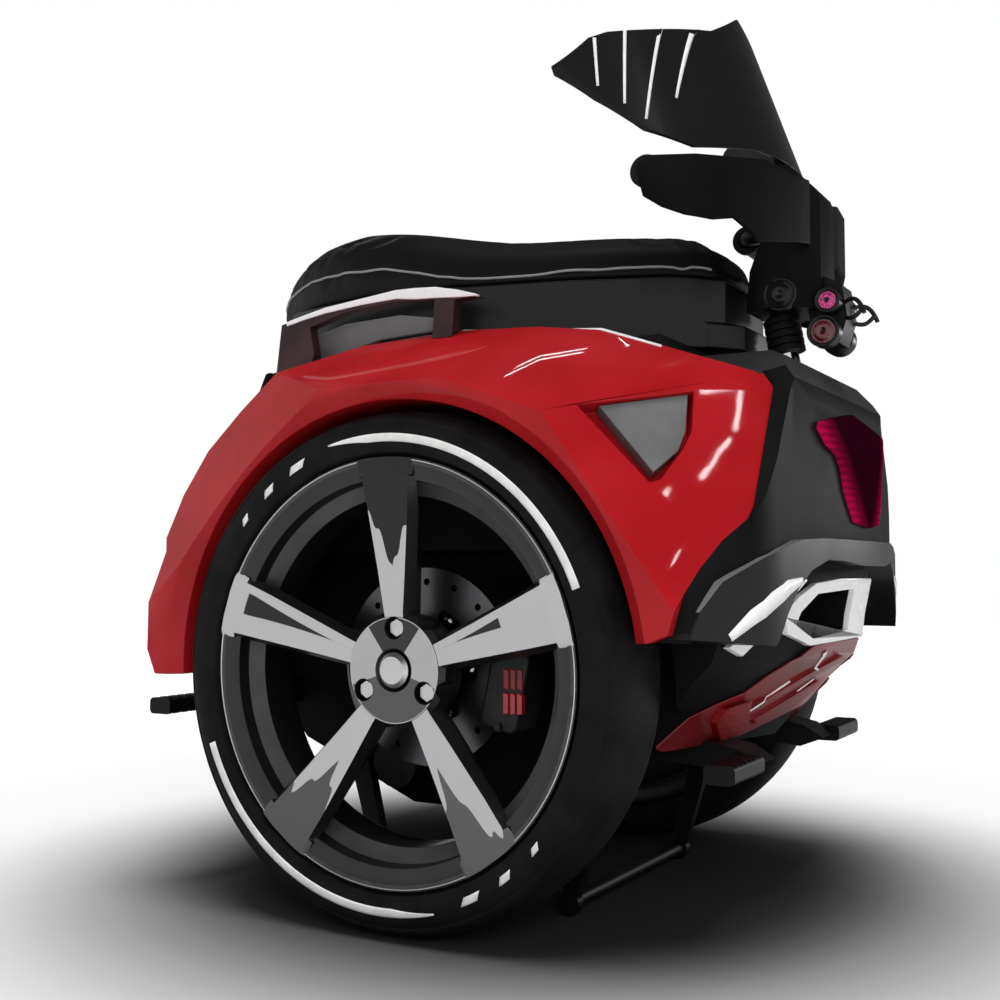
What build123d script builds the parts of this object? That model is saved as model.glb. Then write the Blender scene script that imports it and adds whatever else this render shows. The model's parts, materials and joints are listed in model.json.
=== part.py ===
from build123d import *
import os
from math import cos, radians, sin, tan

# Seated self-balancing scooter on two big side-by-side wheels, in millimetres.
# X runs to the rider's left, the front is -Y and Z is up. The origin is on the
# floor, midway between the wheels. Left pieces are built and then mirrored.

os.makedirs("parts", exist_ok=True)

# Wheels
TRACK = 606  # between the wheels' middle planes
TYRE_R = 286  # also the height of the axle, as the tyre stands on the floor
TYRE_W = 126
TYRE_WALL = 9
RIM_FLANGE_R = 233  # lip of a 17-inch rim
BEAD_R = 216  # seat of a 17-inch rim
RIM_W = 110
SPOKES = 5
FLANK = 6.5  # how far a spoke's dark flanks stand out beside its face
CENTRE_R = 64  # disc in the middle of the wheel
CENTRE_FACE = 36  # its face, outboard of the wheel's middle plane
NOTCH = (70, 12)  # notches between the spokes: distance from the axle, radius
LUG_CIRCLE_D = 92
LUGS = 3
LUG_R = 6.8
LUG_POCKET_R = 12.5
AXLE_R = 22
DISC_X = (-36, -30)  # faces of the brake disc, from the wheel's middle plane
DISC_R = 112
DRUM_R = 88
DRUM_X = 238

# Body
ARCH_R = 296  # fender opening round the tyre
WELL_X = 230  # inner wall of the wheel well, from the middle
FENDER_X = 366  # outer face of the fender
BODY_X = 205  # half-width of the body between the fenders
TUB_X = 150  # half-width of the tub below the side panels
BELLY_Z = 105
PANEL_Z = 417  # lower edge of the side panels
HALF_LENGTH = 430  # from the axle to the nose, and to the tail
LIP_Y = -388  # in front of this the nose stands proud of the fender's panel
LIP_PROUD = 3
VENT_DEPTH = 22
VENT_INSERT_DEPTH = 5
NOSE_FRONT_Y = -HALF_LENGTH
PROW_SWEEP = 0.28  # how fast the lower front falls back towards its sides
APERTURE_DEPTH = 45
LAMP_PROUD = 5
FRAME_PROUD = 7
DIFFUSER_PROUD = 4

# Seat and rails
SEAT_BASE_Z = 655
CUSHION_Z = 738
SEAT_FRONT_Y = -288
SEAT_TAIL_Y = 385
PIPING_INSET = 6  # the cushion is this much narrower than its base
RAIL_X = (222, 238)
SIDE_PANEL_X = (185, 210)

# Stands
STAND_X = 166  # legs, from the middle
STAND_PIVOT = (175, 185)  # distance from the axle's plane, and height
STAND_FOOT = (128, 14)
STAND_PIN_R = 6
LEG_R = 9
LEG_T = 14

# Steering
STEER_PIVOT = (0, -348, 611)
STEER_RAKE = 10  # degrees, the stem's top leans back
NOSE_TOP = 32  # where the stem leaves the nose, along it from the pivot
STEM_R = 13
STEM_LENGTH = 80
BELLOWS_R = 22
BELLOWS_START = 14  # above the stem's foot
BELLOWS_RIBS = 5
BELLOWS_PITCH = 9
BAR_R = 11
BAR_Z = 832
BAR_END_X = 225
BAR_BORE = (8, 60)  # radius and length of the open end
GRIP_IN_X = 112
GRIP_Y = -252
CLAMP_Y = -345
GUARD_T = 5
SCREEN_R = 268
SCREEN_BASE = (-358, 868)  # front of the shell at the middle, and height
SCREEN_RAKE = 25
SCREEN_T = 5
LAMP_CARRIER_X = 22

wheel_x = TRACK / 2
hub_mid = (wheel_x, 0, TYRE_R)
wheel_axis = Axis(hub_mid, (1, 0, 0))
wheel_section = Plane(origin=hub_mid, x_dir=(1, 0, 0), z_dir=(0, -1, 0))


def wheel_face(offset):
    """A plane across the left wheel, that far outboard of its middle plane."""
    return Plane(origin=(wheel_x + offset, 0, TYRE_R), x_dir=(0, 1, 0), z_dir=(1, 0, 0))


def save(part, name):
    part.label = name
    export_step(part, f"parts/{name}.step")


def save_pair(part, name):
    save(part, f"{name}_left")
    with BuildPart() as right:
        mirror(part, about=Plane.YZ)
    save(right.part, f"{name}_right")


def mirrored(points):
    """A closed outline from its right half, listed from the top to the bottom."""
    return list(points) + [(-x, y) for x, y in reversed(points) if abs(x) > 0.01]


def side_outline(points, from_x, to_x):
    """A solid with the given outline as seen from the side, between two planes."""
    with BuildPart() as solid:
        with BuildSketch(Plane.YZ.offset(from_x)):
            with BuildLine():
                Polyline(*points, close=True)
            make_face()
        extrude(amount=to_x - from_x)
    return solid.part


def front_outline(points, from_y=-200, to_y=-500):
    """A solid with the given outline as seen from the front."""
    with BuildPart() as solid:
        with BuildSketch(Plane.XZ.offset(-from_y)):
            with BuildLine():
                Polyline(*points, close=True)
            make_face()
        extrude(amount=from_y - to_y)
    return solid.part


# Tyre: an open carcass whose beads sit on the rim.
tread_x = TYRE_W / 2 - 7
bead_x = RIM_W / 2 - 6.5
shoulder_r = TYRE_R - 11
side_r = TYRE_R - 31
with BuildPart() as tyre:
    with BuildSketch(wheel_section):
        for wall, mode in ((0, Mode.ADD), (TYRE_WALL, Mode.SUBTRACT)):
            foot = BEAD_R + 0.3 - wall * 0.6
            wall_r = RIM_FLANGE_R + 2
            in_foot = (wall - bead_x, wall_r)
            out_foot = (bead_x - wall, wall_r)
            in_shoulder = (wall - tread_x, shoulder_r - wall)
            out_shoulder = (tread_x - wall, shoulder_r - wall)
            with BuildLine():
                side_in = ThreePointArc(in_foot, (wall - TYRE_W / 2, side_r), in_shoulder)
                tread = ThreePointArc(in_shoulder, (0, TYRE_R - wall), out_shoulder)
                side_out = ThreePointArc(out_shoulder, (TYRE_W / 2 - wall, side_r), out_foot)
                Polyline(out_foot, (bead_x - wall, foot), (wall - bead_x, foot), in_foot)
            make_face(mode=mode)
    revolve(axis=wheel_axis)
save_pair(tyre.part, "tyre")

# Rim: a stepped barrel with a lip on each side.
flange_x = RIM_W / 2
barrel = [  # distance outboard of the middle plane, radius
    (flange_x, RIM_FLANGE_R),
    (flange_x - 5, RIM_FLANGE_R),
    (flange_x - 5, BEAD_R),
    (flange_x - 21, BEAD_R - 1),
    (flange_x - 31, BEAD_R - 17),
    (-flange_x + 31, BEAD_R - 17),
    (-flange_x + 21, BEAD_R - 1),
    (-flange_x + 5, BEAD_R),
    (-flange_x + 5, RIM_FLANGE_R),
    (-flange_x, RIM_FLANGE_R),
    (-flange_x, RIM_FLANGE_R - 7),
    (-flange_x + 6, BEAD_R - 7),
    (-flange_x + 22, BEAD_R - 8),
    (-flange_x + 32, BEAD_R - 24),
    (flange_x - 32, BEAD_R - 24),
    (flange_x - 22, BEAD_R - 8),
    (flange_x - 6, BEAD_R - 7),
    (flange_x, RIM_FLANGE_R - 7),
]
with BuildPart() as rim:
    with BuildSketch(wheel_section):
        with BuildLine():
            Polyline(*barrel, close=True)
        make_face()
    revolve(axis=wheel_axis)
save_pair(rim.part, "rim")

# Spokes: five blades that flare from the notched centre disc out over the lip.
centre = [  # distance outboard of the middle plane, radius
    (2, 20), (2, 60), (10, CENTRE_R), (CENTRE_FACE - 6, CENTRE_R), (CENTRE_FACE, CENTRE_R - 6),
    (CENTRE_FACE, 24), (CENTRE_FACE - 4, 20),
]
spoke_sections = [  # radius, half-width of the face, face outboard of the middle plane, depth
    (44, 11, 33, 28),
    (CENTRE_R, 12.5, 36.5, 34),
    (110, 18, 41, 34),
    (175, 26, 49, 32),
    (BEAD_R - 6, 30, 55, 20),
    (BEAD_R - 4, 30.3, 56, 5.6),
    (RIM_FLANGE_R - 1, 33, 57.5, 6.5),
]
with BuildPart() as spokes:
    with BuildSketch(wheel_section):
        with BuildLine():
            Polyline(*centre, close=True)
        make_face()
    revolve(axis=wheel_axis)
    with BuildSketch(wheel_face(0)):
        with PolarLocations(NOTCH[0], SPOKES, start_angle=54):
            Circle(NOTCH[1])
    extrude(amount=60, mode=Mode.SUBTRACT)
    with BuildPart(mode=Mode.PRIVATE) as spoke:
        for radius, half, face, depth in spoke_sections:
            wide = half + min(FLANK, depth)
            with BuildSketch(Plane.XY.offset(TYRE_R + radius)):
                with BuildLine():
                    Polyline(
                        (wheel_x + face, -half),
                        (wheel_x + face, half),
                        (wheel_x + face - depth * 0.4, wide),
                        (wheel_x + face - depth, wide * 0.7),
                        (wheel_x + face - depth, -wide * 0.7),
                        (wheel_x + face - depth * 0.4, -wide),
                        close=True,
                    )
                make_face()
        loft(ruled=True)
    for n in range(SPOKES):
        add(spoke.part.rotate(wheel_axis, n * 360 / SPOKES))
    for depth, radius in ((0, LUG_R + 0.4), (20, LUG_POCKET_R)):
        with BuildSketch(wheel_face(depth)):
            with PolarLocations(LUG_CIRCLE_D / 2, LUGS, start_angle=90):
                Circle(radius)
        extrude(amount=60, mode=Mode.SUBTRACT)
    with BuildSketch(wheel_face(0)):
        Circle(20)
    extrude(amount=60, mode=Mode.SUBTRACT)
    add(rim.part, mode=Mode.SUBTRACT)
    with BuildSketch(wheel_face(0)):
        Circle(RIM_FLANGE_R - 0.5)
    extrude(amount=80, mode=Mode.INTERSECT)
save_pair(spokes.part, "spokes")

# Hub: bore for the stub axle, a nose through the wheel's centre and the lug bolts.
with BuildPart() as hub:
    with BuildSketch(wheel_section):
        with BuildLine():
            Polyline(
                (-58, AXLE_R + 0.05), (-58, 36), (-10, 36), (-10, 60), (2, 60), (2, 19.6),
                (CENTRE_FACE, 19.6), (CENTRE_FACE + 4, 15), (CENTRE_FACE + 5, 0), (1, 0),
                (1, AXLE_R + 0.05), close=True,
            )
        make_face()
    revolve(axis=wheel_axis)
    with BuildSketch(wheel_face(0)):
        with PolarLocations(LUG_CIRCLE_D / 2, LUGS, start_angle=90):
            Circle(LUG_R)
    extrude(amount=30)
    with BuildSketch(wheel_face(22)):
        with PolarLocations(LUG_CIRCLE_D / 2, LUGS, start_angle=90):
            RegularPolygon(10, 6)
            Circle(5, mode=Mode.SUBTRACT)
    extrude(amount=8)
save_pair(hub.part, "hub")

with BuildPart() as brake_disc:
    with BuildSketch(wheel_face(DISC_X[0])):
        Circle(DISC_R)
        Circle(36.2, mode=Mode.SUBTRACT)
        with PolarLocations(60, 6):
            SlotOverall(30, 14, rotation=90, mode=Mode.SUBTRACT)
        with PolarLocations(96, 16):
            Circle(4, mode=Mode.SUBTRACT)
    extrude(amount=DISC_X[1] - DISC_X[0])
save_pair(brake_disc.part, "brake_disc")

# Drive unit: motor drum with cooling ribs, reduction case and the stub axle.
drum = [  # distance outboard of the middle plane, radius
    (TUB_X - wheel_x, 0), (TUB_X - wheel_x, 74), (-140, DRUM_R), (-72, DRUM_R),
    (DRUM_X - wheel_x, DRUM_R - 8), (DRUM_X - wheel_x, AXLE_R), (0, AXLE_R), (0, 0),
]
with BuildPart() as drive_unit:
    with BuildSketch(wheel_section):
        with BuildLine():
            Polyline(*drum, close=True)
        make_face()
    revolve(axis=wheel_axis)
    with BuildSketch(Plane.YZ.offset(TUB_X)):
        with BuildLine():
            Polyline((20, 210), (52, 165), (80, 137), (108, 165), (84, 270), close=True)
        make_face()
        with Locations((80, 165)):
            Circle(30)
    extrude(amount=70)
    with BuildSketch(wheel_section):
        for n in range(6):
            with Locations((TUB_X - wheel_x + 18 + n * 10, DRUM_R)):
                Rectangle(4, 12)
    revolve(axis=wheel_axis, mode=Mode.SUBTRACT)
save_pair(drive_unit.part, "drive_unit")

with BuildPart() as brake_caliper:
    add(side_outline([(-62, 236), (-62, 316), (-118, 318), (-134, 250), (-112, 214)], DRUM_X, DRUM_X + 10))
    with BuildSketch(Plane.YZ.offset(DRUM_X + 10)):
        with Locations((-112, 266)):
            RectangleRounded(48, 92, 10, rotation=12)
    extrude(amount=44)
    fillet(brake_caliper.faces().sort_by(Axis.X)[-1].edges(), 5)
    with BuildSketch(wheel_face(DISC_X[0] - 7)):
        Circle(DISC_R + 7)
    extrude(amount=DISC_X[1] - DISC_X[0] + 14, mode=Mode.SUBTRACT)
save_pair(brake_caliper.part, "brake_caliper")

# Tub: the closed lower body, narrow beside the drive units and wider above them.
tub_side = [
    (-262, 200), (-100, BELLY_Z), (100, BELLY_Z), (270, 175), (325, 235), (330, 560),
    (290, SEAT_BASE_Z), (-262, SEAT_BASE_Z),
]
tub_front = [(BODY_X, 700), (BODY_X, PANEL_Z), (TUB_X, PANEL_Z), (TUB_X, 90)]
with BuildPart() as chassis_tub:
    add(side_outline(tub_side, -BODY_X, BODY_X))
    add(front_outline(mirrored(tub_front), 400, -400), mode=Mode.INTERSECT)
save(chassis_tub.part, "chassis_tub")

# Fender: a block with the fender's side outline, cut by the planes of its panels.
fender_side = [
    (-312, 325), (-332, 333), (-342, 367), (-353, 397), (-366, 423), (-384, 446), (-390, 470), (-390, 592),
    (-372, 632), (-200, 664), (-8, 680), (120, 670), (200, 634), (262, 592), (318, 545), (346, 490),
    (354, 435), (341, 418), (343, 300), (330, 271), (280, 271), (0, 300),
]
fender_cuts = [  # a point of the plane, and its outward direction
    ((200, -390, 592), (1, -0.760, 0.535)),  # front panel with the vent
    ((200, -382, 603), (0.538, -0.281, 0.795)),  # front corner above the crease
    ((366, 0, 600), (62, 0, 116)),  # top, sloping out and down to the arch
    ((366, 190, 500), (0.85, 0.36, 0.38)),  # rear quarter
]
front_panel = Plane(origin=fender_cuts[0][0], z_dir=fender_cuts[0][1])
vent = [  # corners of the pocket, on the front panel
    (341, -225, 563), (260, -320, 580), (279, -325, 537), (292, -321, 518), (320, -307, 485),
    (328, -299, 482),
]
vent_plate = [(326, -244, 565), (263, -316, 579), (281, -320, 538), (294, -317, 517), (320, -301, 495)]


def on_panel(points, top, depth):
    """A block under the front panel, from one depth to another."""
    local = [front_panel.to_local_coords(Vector(*point)) for point in points]
    with BuildPart() as block:
        with BuildSketch(front_panel.offset(-top)):
            with BuildLine():
                Polyline(*[(point.X, point.Y) for point in local], close=True)
            make_face()
        extrude(amount=top - depth)
    return block.part


with BuildPart() as fender:
    add(side_outline(fender_side, BODY_X, FENDER_X))
    for point, normal in fender_cuts:
        split(bisect_by=Plane(origin=point, z_dir=normal), keep=Keep.BOTTOM)
    with BuildSketch(wheel_section):
        with BuildLine():
            Polyline(
                (BODY_X - wheel_x - 5, 0), (BODY_X - wheel_x - 5, ARCH_R), (FENDER_X - wheel_x - 14, ARCH_R),
                (FENDER_X - wheel_x + 6, ARCH_R + 22), (FENDER_X - wheel_x + 6, 0), close=True,
            )
        make_face()
    revolve(axis=wheel_axis, mode=Mode.SUBTRACT)
    add(on_panel(vent, -10, VENT_DEPTH), mode=Mode.SUBTRACT)
save_pair(fender.part, "fender")
save_pair(on_panel(vent_plate, VENT_INSERT_DEPTH, VENT_DEPTH), "vent_insert")

# Nose: an upper front that is bowed in plan, over a lower one swept back like a prow.
bow_side = [
    (-262, 300), (-430, 300), (-430, 476), (-427, 523), (-418, 560), (-404, 598), (-384, 628), (-360, 640),
    (-262, 640),
]
bow_half = [  # half-width and height, from the top down
    (120, 642), (206, 604), (400, 400), (400, 325), (352, 325), (300, 370), (246, 400), (204, 412), (0, 414),
]
bow_corner = [  # half-width and distance along the scooter, where the bow meets the fender
    (200, -403), (241, -401), (264, -397), (282, -389), (309, -371), (333, -358), (352, -349), (352, -262),
]
prow_side = [
    (-262, 200), (-318, 200), (-343, 229), (-366, 255), (-388, 280), (-410, 300), (-417, 320), (-420, 345),
    (-428, 383), (-426, 414), (-262, 414),
]
prow_half = [(262, 420), (262, 300), (240, 192)]


def bow_block(grow=0.0):
    """The upper front's outer form, or one that stands a little proud of it."""
    with BuildPart() as block:
        with BuildSketch(Plane.XY.offset(BELLY_Z)):
            with BuildLine():
                bow = ThreePointArc(
                    (-150, -412 - grow), (0, NOSE_FRONT_Y - grow), (150, -412 - grow),
                )
                corner = [(x, y - grow) for x, y in bow_corner[:-1]] + bow_corner[-1:]
                Polyline(bow @ 1, *corner, *[(-x, y) for x, y in reversed(corner)], bow @ 0)
            make_face()
        extrude(amount=600)
        with BuildSketch(Plane.YZ.offset(-400)):
            with BuildLine():
                Polyline(*bow_side, close=True)
            make_face()
            if grow:
                offset(amount=grow)
        extrude(amount=800, mode=Mode.INTERSECT)
        add(front_outline(mirrored(bow_half)), mode=Mode.INTERSECT)
    return block.part


def prow_block(grow=0.0):
    """The lower front's outer form, each half drawn out sideways and back."""
    with BuildPart() as block:
        for way in (1, -1):
            with BuildSketch(Plane.YZ):
                with BuildLine():
                    Polyline(*[(y - (grow if y < -262 else 0), z) for y, z in prow_side], close=True)
                make_face()
            extrude(amount=300, dir=(way, PROW_SWEEP, 0))
        add(front_outline(mirrored(prow_half)), mode=Mode.INTERSECT)
        split(bisect_by=Plane.XZ.offset(262), keep=Keep.TOP)
    return block.part


def well_cutter(x_in):
    """What the turning wheel and the open arch take out of the body, on both sides."""
    with BuildPart() as cutter:
        for centre_x in (x_in, -x_in - 300):
            with BuildSketch(Plane.YZ.offset(centre_x)):
                with Locations((0, TYRE_R)):
                    Circle(ARCH_R)
            extrude(amount=300)
    return cutter.part


with BuildPart() as over_panel:
    with BuildSketch(Plane.XY.offset(BELLY_Z)):
        with BuildLine():
            Polyline((BODY_X, LIP_Y), (500, LIP_Y), (500, -200), (BODY_X, -200), close=True)
        make_face()
    extrude(amount=600)
    split(bisect_by=front_panel, keep=Keep.TOP)
lip_plane = front_panel.offset(LIP_PROUD)

lamp_half = [
    (0, 577), (18, 575), (100, 563), (139, 555), (143, 548), (124, 531), (100, 521), (88, 506), (80, 484),
    (66, 465), (51, 449), (0, 444),
]
shoulder_half = [
    (0, 428), (69, 428), (149, 429), (204, 426), (246, 417), (278, 407), (323, 384), (345, 355), (354, 329),
    (258, 320), (238, 350), (212, 377), (182, 395), (143, 406), (104, 405), (51, 400), (0, 400),
]
shoulder_plan = [(204, -415), (246, -408), (278, -398), (323, -372), (354, -350), (364, -300)]
blade = [(253, 316), (224, 306), (130, 385), (158, 391)]
frame_half = [(0, 386), (61, 386), (112, 381), (139, 367), (162, 349), (150, 326), (103, 312), (0, 318)]
aperture = [(32, 374), (104, 369), (130, 350), (136, 336), (102, 321), (32, 328)]
diffuser_half = [
    (0, 317), (85, 313), (117, 296), (150, 262), (186, 252), (215, 240), (235, 200), (156, 201), (81, 206),
    (18, 229), (0, 236),
]
ridges = [
    [(10, 292), (28, 297), (128, 236), (118, 230)],
    [(8, 262), (24, 268), (92, 226), (80, 220)],
]
reflector = [(170, 230), (172, 246), (136, 252), (99, 217), (126, 203)]


def both_sides(points):
    return (points, [(-x, z) for x, z in points])


with BuildPart() as nose_body:
    add(bow_block())
    add(prow_block())
    split(bisect_by=lip_plane, keep=Keep.BOTTOM)
    add(over_panel.part, mode=Mode.SUBTRACT)
    add(fender.part, mode=Mode.SUBTRACT)
    split(bisect_by=Plane.YZ, keep=Keep.TOP)
    add(well_cutter(WELL_X), mode=Mode.SUBTRACT)
    with BuildPart(mode=Mode.PRIVATE) as pocket:
        add(front_outline(aperture))
        add(prow_block().translate((0, APERTURE_DEPTH, 0)), mode=Mode.SUBTRACT)
    add(pocket.part, mode=Mode.SUBTRACT)
    mirror(about=Plane.YZ)
with BuildPart() as nose_cowl:
    add(nose_body.solids().sort_by(SortBy.VOLUME)[-1])
save(nose_cowl.part, "nose_cowl")

with BuildPart() as front_lamp:
    add(bow_block(LAMP_PROUD))
    add(front_outline(mirrored(lamp_half), -300, -500), mode=Mode.INTERSECT)
    add(nose_cowl.part, mode=Mode.SUBTRACT)
save(front_lamp.part, "front_lamp")

# Bumper band: a rounded satin shoulder across the nose, drooping at its ends.
with BuildPart() as bumper_band:
    with BuildSketch(Plane.XY.offset(BELLY_Z)):
        with BuildLine():
            bow = ThreePointArc((-150, -424), (0, NOSE_FRONT_Y - 12), (150, -424))
            Polyline(bow @ 1, *shoulder_plan, *[(-x, y) for x, y in reversed(shoulder_plan)], bow @ 0)
        make_face()
    extrude(amount=600)
    add(front_outline(mirrored(shoulder_half)), mode=Mode.INTERSECT)
    add(nose_cowl.part, mode=Mode.SUBTRACT)
    add(well_cutter(WELL_X), mode=Mode.SUBTRACT)
    add(fender.part, mode=Mode.SUBTRACT)
    mirror(fender.part, about=Plane.YZ, mode=Mode.SUBTRACT)
save(bumper_band.part, "bumper_band")

with BuildPart() as aperture_frame:
    add(prow_block(FRAME_PROUD))
    add(front_outline(mirrored(frame_half)), mode=Mode.INTERSECT)
    for points in both_sides(aperture):
        add(front_outline(points), mode=Mode.SUBTRACT)
    add(prow_block(), mode=Mode.SUBTRACT)
save(aperture_frame.part, "aperture_frame")

with BuildPart() as bumper_blade:
    add(prow_block(FRAME_PROUD + 1))
    add(front_outline(blade), mode=Mode.INTERSECT)
    add(prow_block(), mode=Mode.SUBTRACT)
    add(bumper_band.part, mode=Mode.SUBTRACT)
    add(fender.part, mode=Mode.SUBTRACT)
save_pair(bumper_blade.part, "bumper_blade")

# Diffuser: the red keel under the nose, with slanted ridges.
with BuildPart() as diffuser:
    with BuildPart(mode=Mode.PRIVATE) as keel:
        add(prow_block(DIFFUSER_PROUD))
        add(front_outline(mirrored(diffuser_half)), mode=Mode.INTERSECT)
    with BuildPart(mode=Mode.PRIVATE) as raised:
        for ridge in ridges:
            for points in both_sides(ridge):
                add(front_outline(points))
        add(prow_block(DIFFUSER_PROUD + 5), mode=Mode.INTERSECT)
    add(keel.part)
    add(raised.part)
    add(prow_block(), mode=Mode.SUBTRACT)
    add(aperture_frame.part, mode=Mode.SUBTRACT)
save(diffuser.part, "diffuser")

with BuildPart() as reflectors:
    for points in both_sides(reflector):
        add(front_outline(points))
    add(prow_block(DIFFUSER_PROUD + 8), mode=Mode.INTERSECT)
    add(prow_block(), mode=Mode.SUBTRACT)
    add(diffuser.part, mode=Mode.SUBTRACT)
save(reflectors.part, "front_reflectors")

# Tail: the black panel between the fenders at the back, rounded in plan.
tail_side = [
    (300, SEAT_BASE_Z), (345, 560), (392, 500), (424, 440), (HALF_LENGTH, 400), (418, 340), (380, 290),
    (350, 262), (325, 235), (290, 400), (290, SEAT_BASE_Z),
]
tail_plan = [(BODY_X, 290), (BODY_X, 350), (175, 405), (100, 426), (0, HALF_LENGTH)]


def tail_block(grow=0.0):
    with BuildPart() as block:
        with BuildSketch(Plane.XY.offset(BELLY_Z)):
            with BuildLine():
                Polyline(*mirrored([(x, y + grow) for x, y in tail_plan]), close=True)
            make_face()
        extrude(amount=600)
        moved = [(y + grow, z) for y, z in tail_side]
        add(side_outline(moved, -BODY_X, BODY_X), mode=Mode.INTERSECT)
    return block.part


with BuildPart() as tail_cowl:
    add(tail_block())
    add(chassis_tub.part, mode=Mode.SUBTRACT)
save(tail_cowl.part, "tail_cowl")

with BuildPart() as tail_lamp:
    add(tail_block(6))
    add(front_outline(mirrored([(150, 492), (140, 462)]), 480, 300), mode=Mode.INTERSECT)
    add(tail_block(), mode=Mode.SUBTRACT)
    split(bisect_by=Plane.XZ.offset(-340), keep=Keep.BOTTOM)
save(tail_lamp.part, "tail_lamp")

# Seat: a hard base with skirts, and the long two-level cushion.
seat_plan = [  # half-width and distance along the scooter, from the front to the back
    (70, SEAT_FRONT_Y), (120, -240), (165, -120), (200, 20), (200, 180), (178, 270), (130, 325), (85, 355),
    (0, SEAT_TAIL_Y),
]
base_side = [(-320, SEAT_BASE_Z), (-320, 760), (400, 760), (376, 710), (300, SEAT_BASE_Z)]
shroud_plan = [(50, -305), (90, -276), (90, -200)]
with BuildPart() as seat_base:
    with BuildSketch(Plane.XY.offset(SEAT_BASE_Z)):
        with BuildLine():
            Polyline(*mirrored(seat_plan), close=True)
        make_face()
    extrude(amount=CUSHION_Z - SEAT_BASE_Z)
    add(side_outline(base_side, -300, 300), mode=Mode.INTERSECT)
    with BuildSketch(Plane.XY.offset(SEAT_BASE_Z)):
        with BuildLine():
            Polyline(*mirrored(shroud_plan), close=True)
        make_face()
    extrude(amount=30)
save(seat_base.part, "seat_base")

cushion_foot = CUSHION_Z + 0.3
with BuildPart() as seat_cushion:
    with BuildSketch(Plane.YZ.offset(-BODY_X)):
        with BuildLine():
            top = Spline(
                (SEAT_FRONT_Y + 4, 782), (-230, 803), (-90, 810), (-17, 815), (93, 836), (176, 853),
                (240, 856), (300, 846), (345, 820), (372, 785),
            )
            Polyline(
                top @ 1, (SEAT_TAIL_Y, 760), (SEAT_TAIL_Y - 4, cushion_foot), (SEAT_FRONT_Y, cushion_foot),
                top @ 0,
            )
        make_face()
    extrude(amount=2 * BODY_X)
    with BuildSketch(Plane.XY.offset(CUSHION_Z)):
        with BuildLine():
            cushion_plan = [(x - PIPING_INSET, y) for x, y in seat_plan[:-1]] + seat_plan[-1:]
            Polyline(*mirrored(cushion_plan), close=True)
        make_face()
    extrude(amount=200, mode=Mode.INTERSECT)
save(seat_cushion.part, "seat_cushion")

# Grab rails: a blade on two legs beside the pillion seat, over a grey panel.
rail_side = [
    (262, 585), (246, 708), (174, 722), (68, 732), (11, 729), (-48, 714), (-14, 712), (-10, 660), (18, 660),
    (14, 716), (68, 719), (150, 712), (200, 700), (193, 666), (216, 600),
]
with BuildPart() as grab_rail:
    add(side_outline(rail_side, *RAIL_X))
    add(fender.part, mode=Mode.SUBTRACT)
save_pair(grab_rail.part, "grab_rail")

panel_side = [(217, 678), (209, 696), (166, 706), (82, 709), (23, 699), (23, 685), (112, 681), (205, 661)]
with BuildPart() as side_panel:
    add(side_outline(panel_side, *SIDE_PANEL_X))
    add(seat_base.part, mode=Mode.SUBTRACT)
    add(fender.part, mode=Mode.SUBTRACT)
save_pair(side_panel.part, "side_panel")

# Foot pegs: a bracket from the tub and a serrated tread, in front and behind.
TREAD = 95
pegs = [  # name, along the scooter, height, root x, tip x
    ("front_peg", -338, 186, 120, 246),
    ("rear_peg", 368, 226, 150, 318),
]
for name, peg_y, peg_z, root_x, tip_x in pegs:
    inward = 60 if peg_y > 0 else -60
    bracket = [
        (peg_y - inward * 0.3, peg_z - 12),
        (peg_y + inward * 0.2, peg_z),
        (peg_y - inward * 0.2, peg_z + 14),
        (peg_y - inward * 1.5, peg_z + 30),
        (peg_y - inward * 1.5, peg_z - 4),
    ]
    with BuildPart() as peg:
        with BuildSketch(Plane.YZ.offset(tip_x - TREAD)):
            with Locations((peg_y, peg_z)):
                RectangleRounded(34, 20, 6)
        extrude(amount=TREAD)
        add(side_outline(bracket, root_x - 24, tip_x - TREAD))
        for n in range(6):
            with BuildSketch(Plane.YZ.offset(tip_x - TREAD + 7 + n * 15)):
                with Locations((peg_y, peg_z + 10), (peg_y, peg_z - 10)):
                    Rectangle(40, 4)
            extrude(amount=7, mode=Mode.SUBTRACT)
        add(chassis_tub.part, mode=Mode.SUBTRACT)
        add(nose_cowl.part, mode=Mode.SUBTRACT)
        add(diffuser.part, mode=Mode.SUBTRACT)
        add(reflectors.part, mode=Mode.SUBTRACT)
        add(tail_cowl.part, mode=Mode.SUBTRACT)
    save_pair(peg.part, name)

# Parking stands: two legs joined by a foot bar, one stand in front and one behind.
for name, way in (("stand_front", -1), ("stand_rear", 1)):
    pivot = (way * STAND_PIVOT[0], STAND_PIVOT[1])
    foot = (way * STAND_FOOT[0], STAND_FOOT[1])
    with BuildPart() as stand:
        for leg_x in (STAND_X, -STAND_X):
            with BuildSketch(Plane.YZ.offset(leg_x - LEG_T / 2)):
                with BuildLine():
                    Polyline(
                        (pivot[0] - 15, pivot[1]), (pivot[0] + 15, pivot[1]), (foot[0] + 10, foot[1]),
                        (foot[0] - 10, foot[1]), close=True,
                    )
                make_face()
                with Locations(pivot):
                    Circle(17)
                with Locations(foot):
                    Circle(14)
                with Locations(pivot):
                    Circle(STAND_PIN_R + 0.05, mode=Mode.SUBTRACT)
            extrude(amount=LEG_T)
        with BuildSketch(Plane.YZ.offset(-STAND_X)):
            with Locations(foot):
                Circle(LEG_R)
        extrude(amount=2 * STAND_X)
    save(stand.part, name)

with BuildPart() as stand_pivots:
    for way in (-1, 1):
        for end in (-1, 1):
            with BuildSketch(Plane.YZ.offset(end * TUB_X)):
                with Locations((way * STAND_PIVOT[0], STAND_PIVOT[1])):
                    Circle(STAND_PIN_R)
            extrude(amount=end * 32)
save(stand_pivots.part, "stand_pivots")

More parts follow.
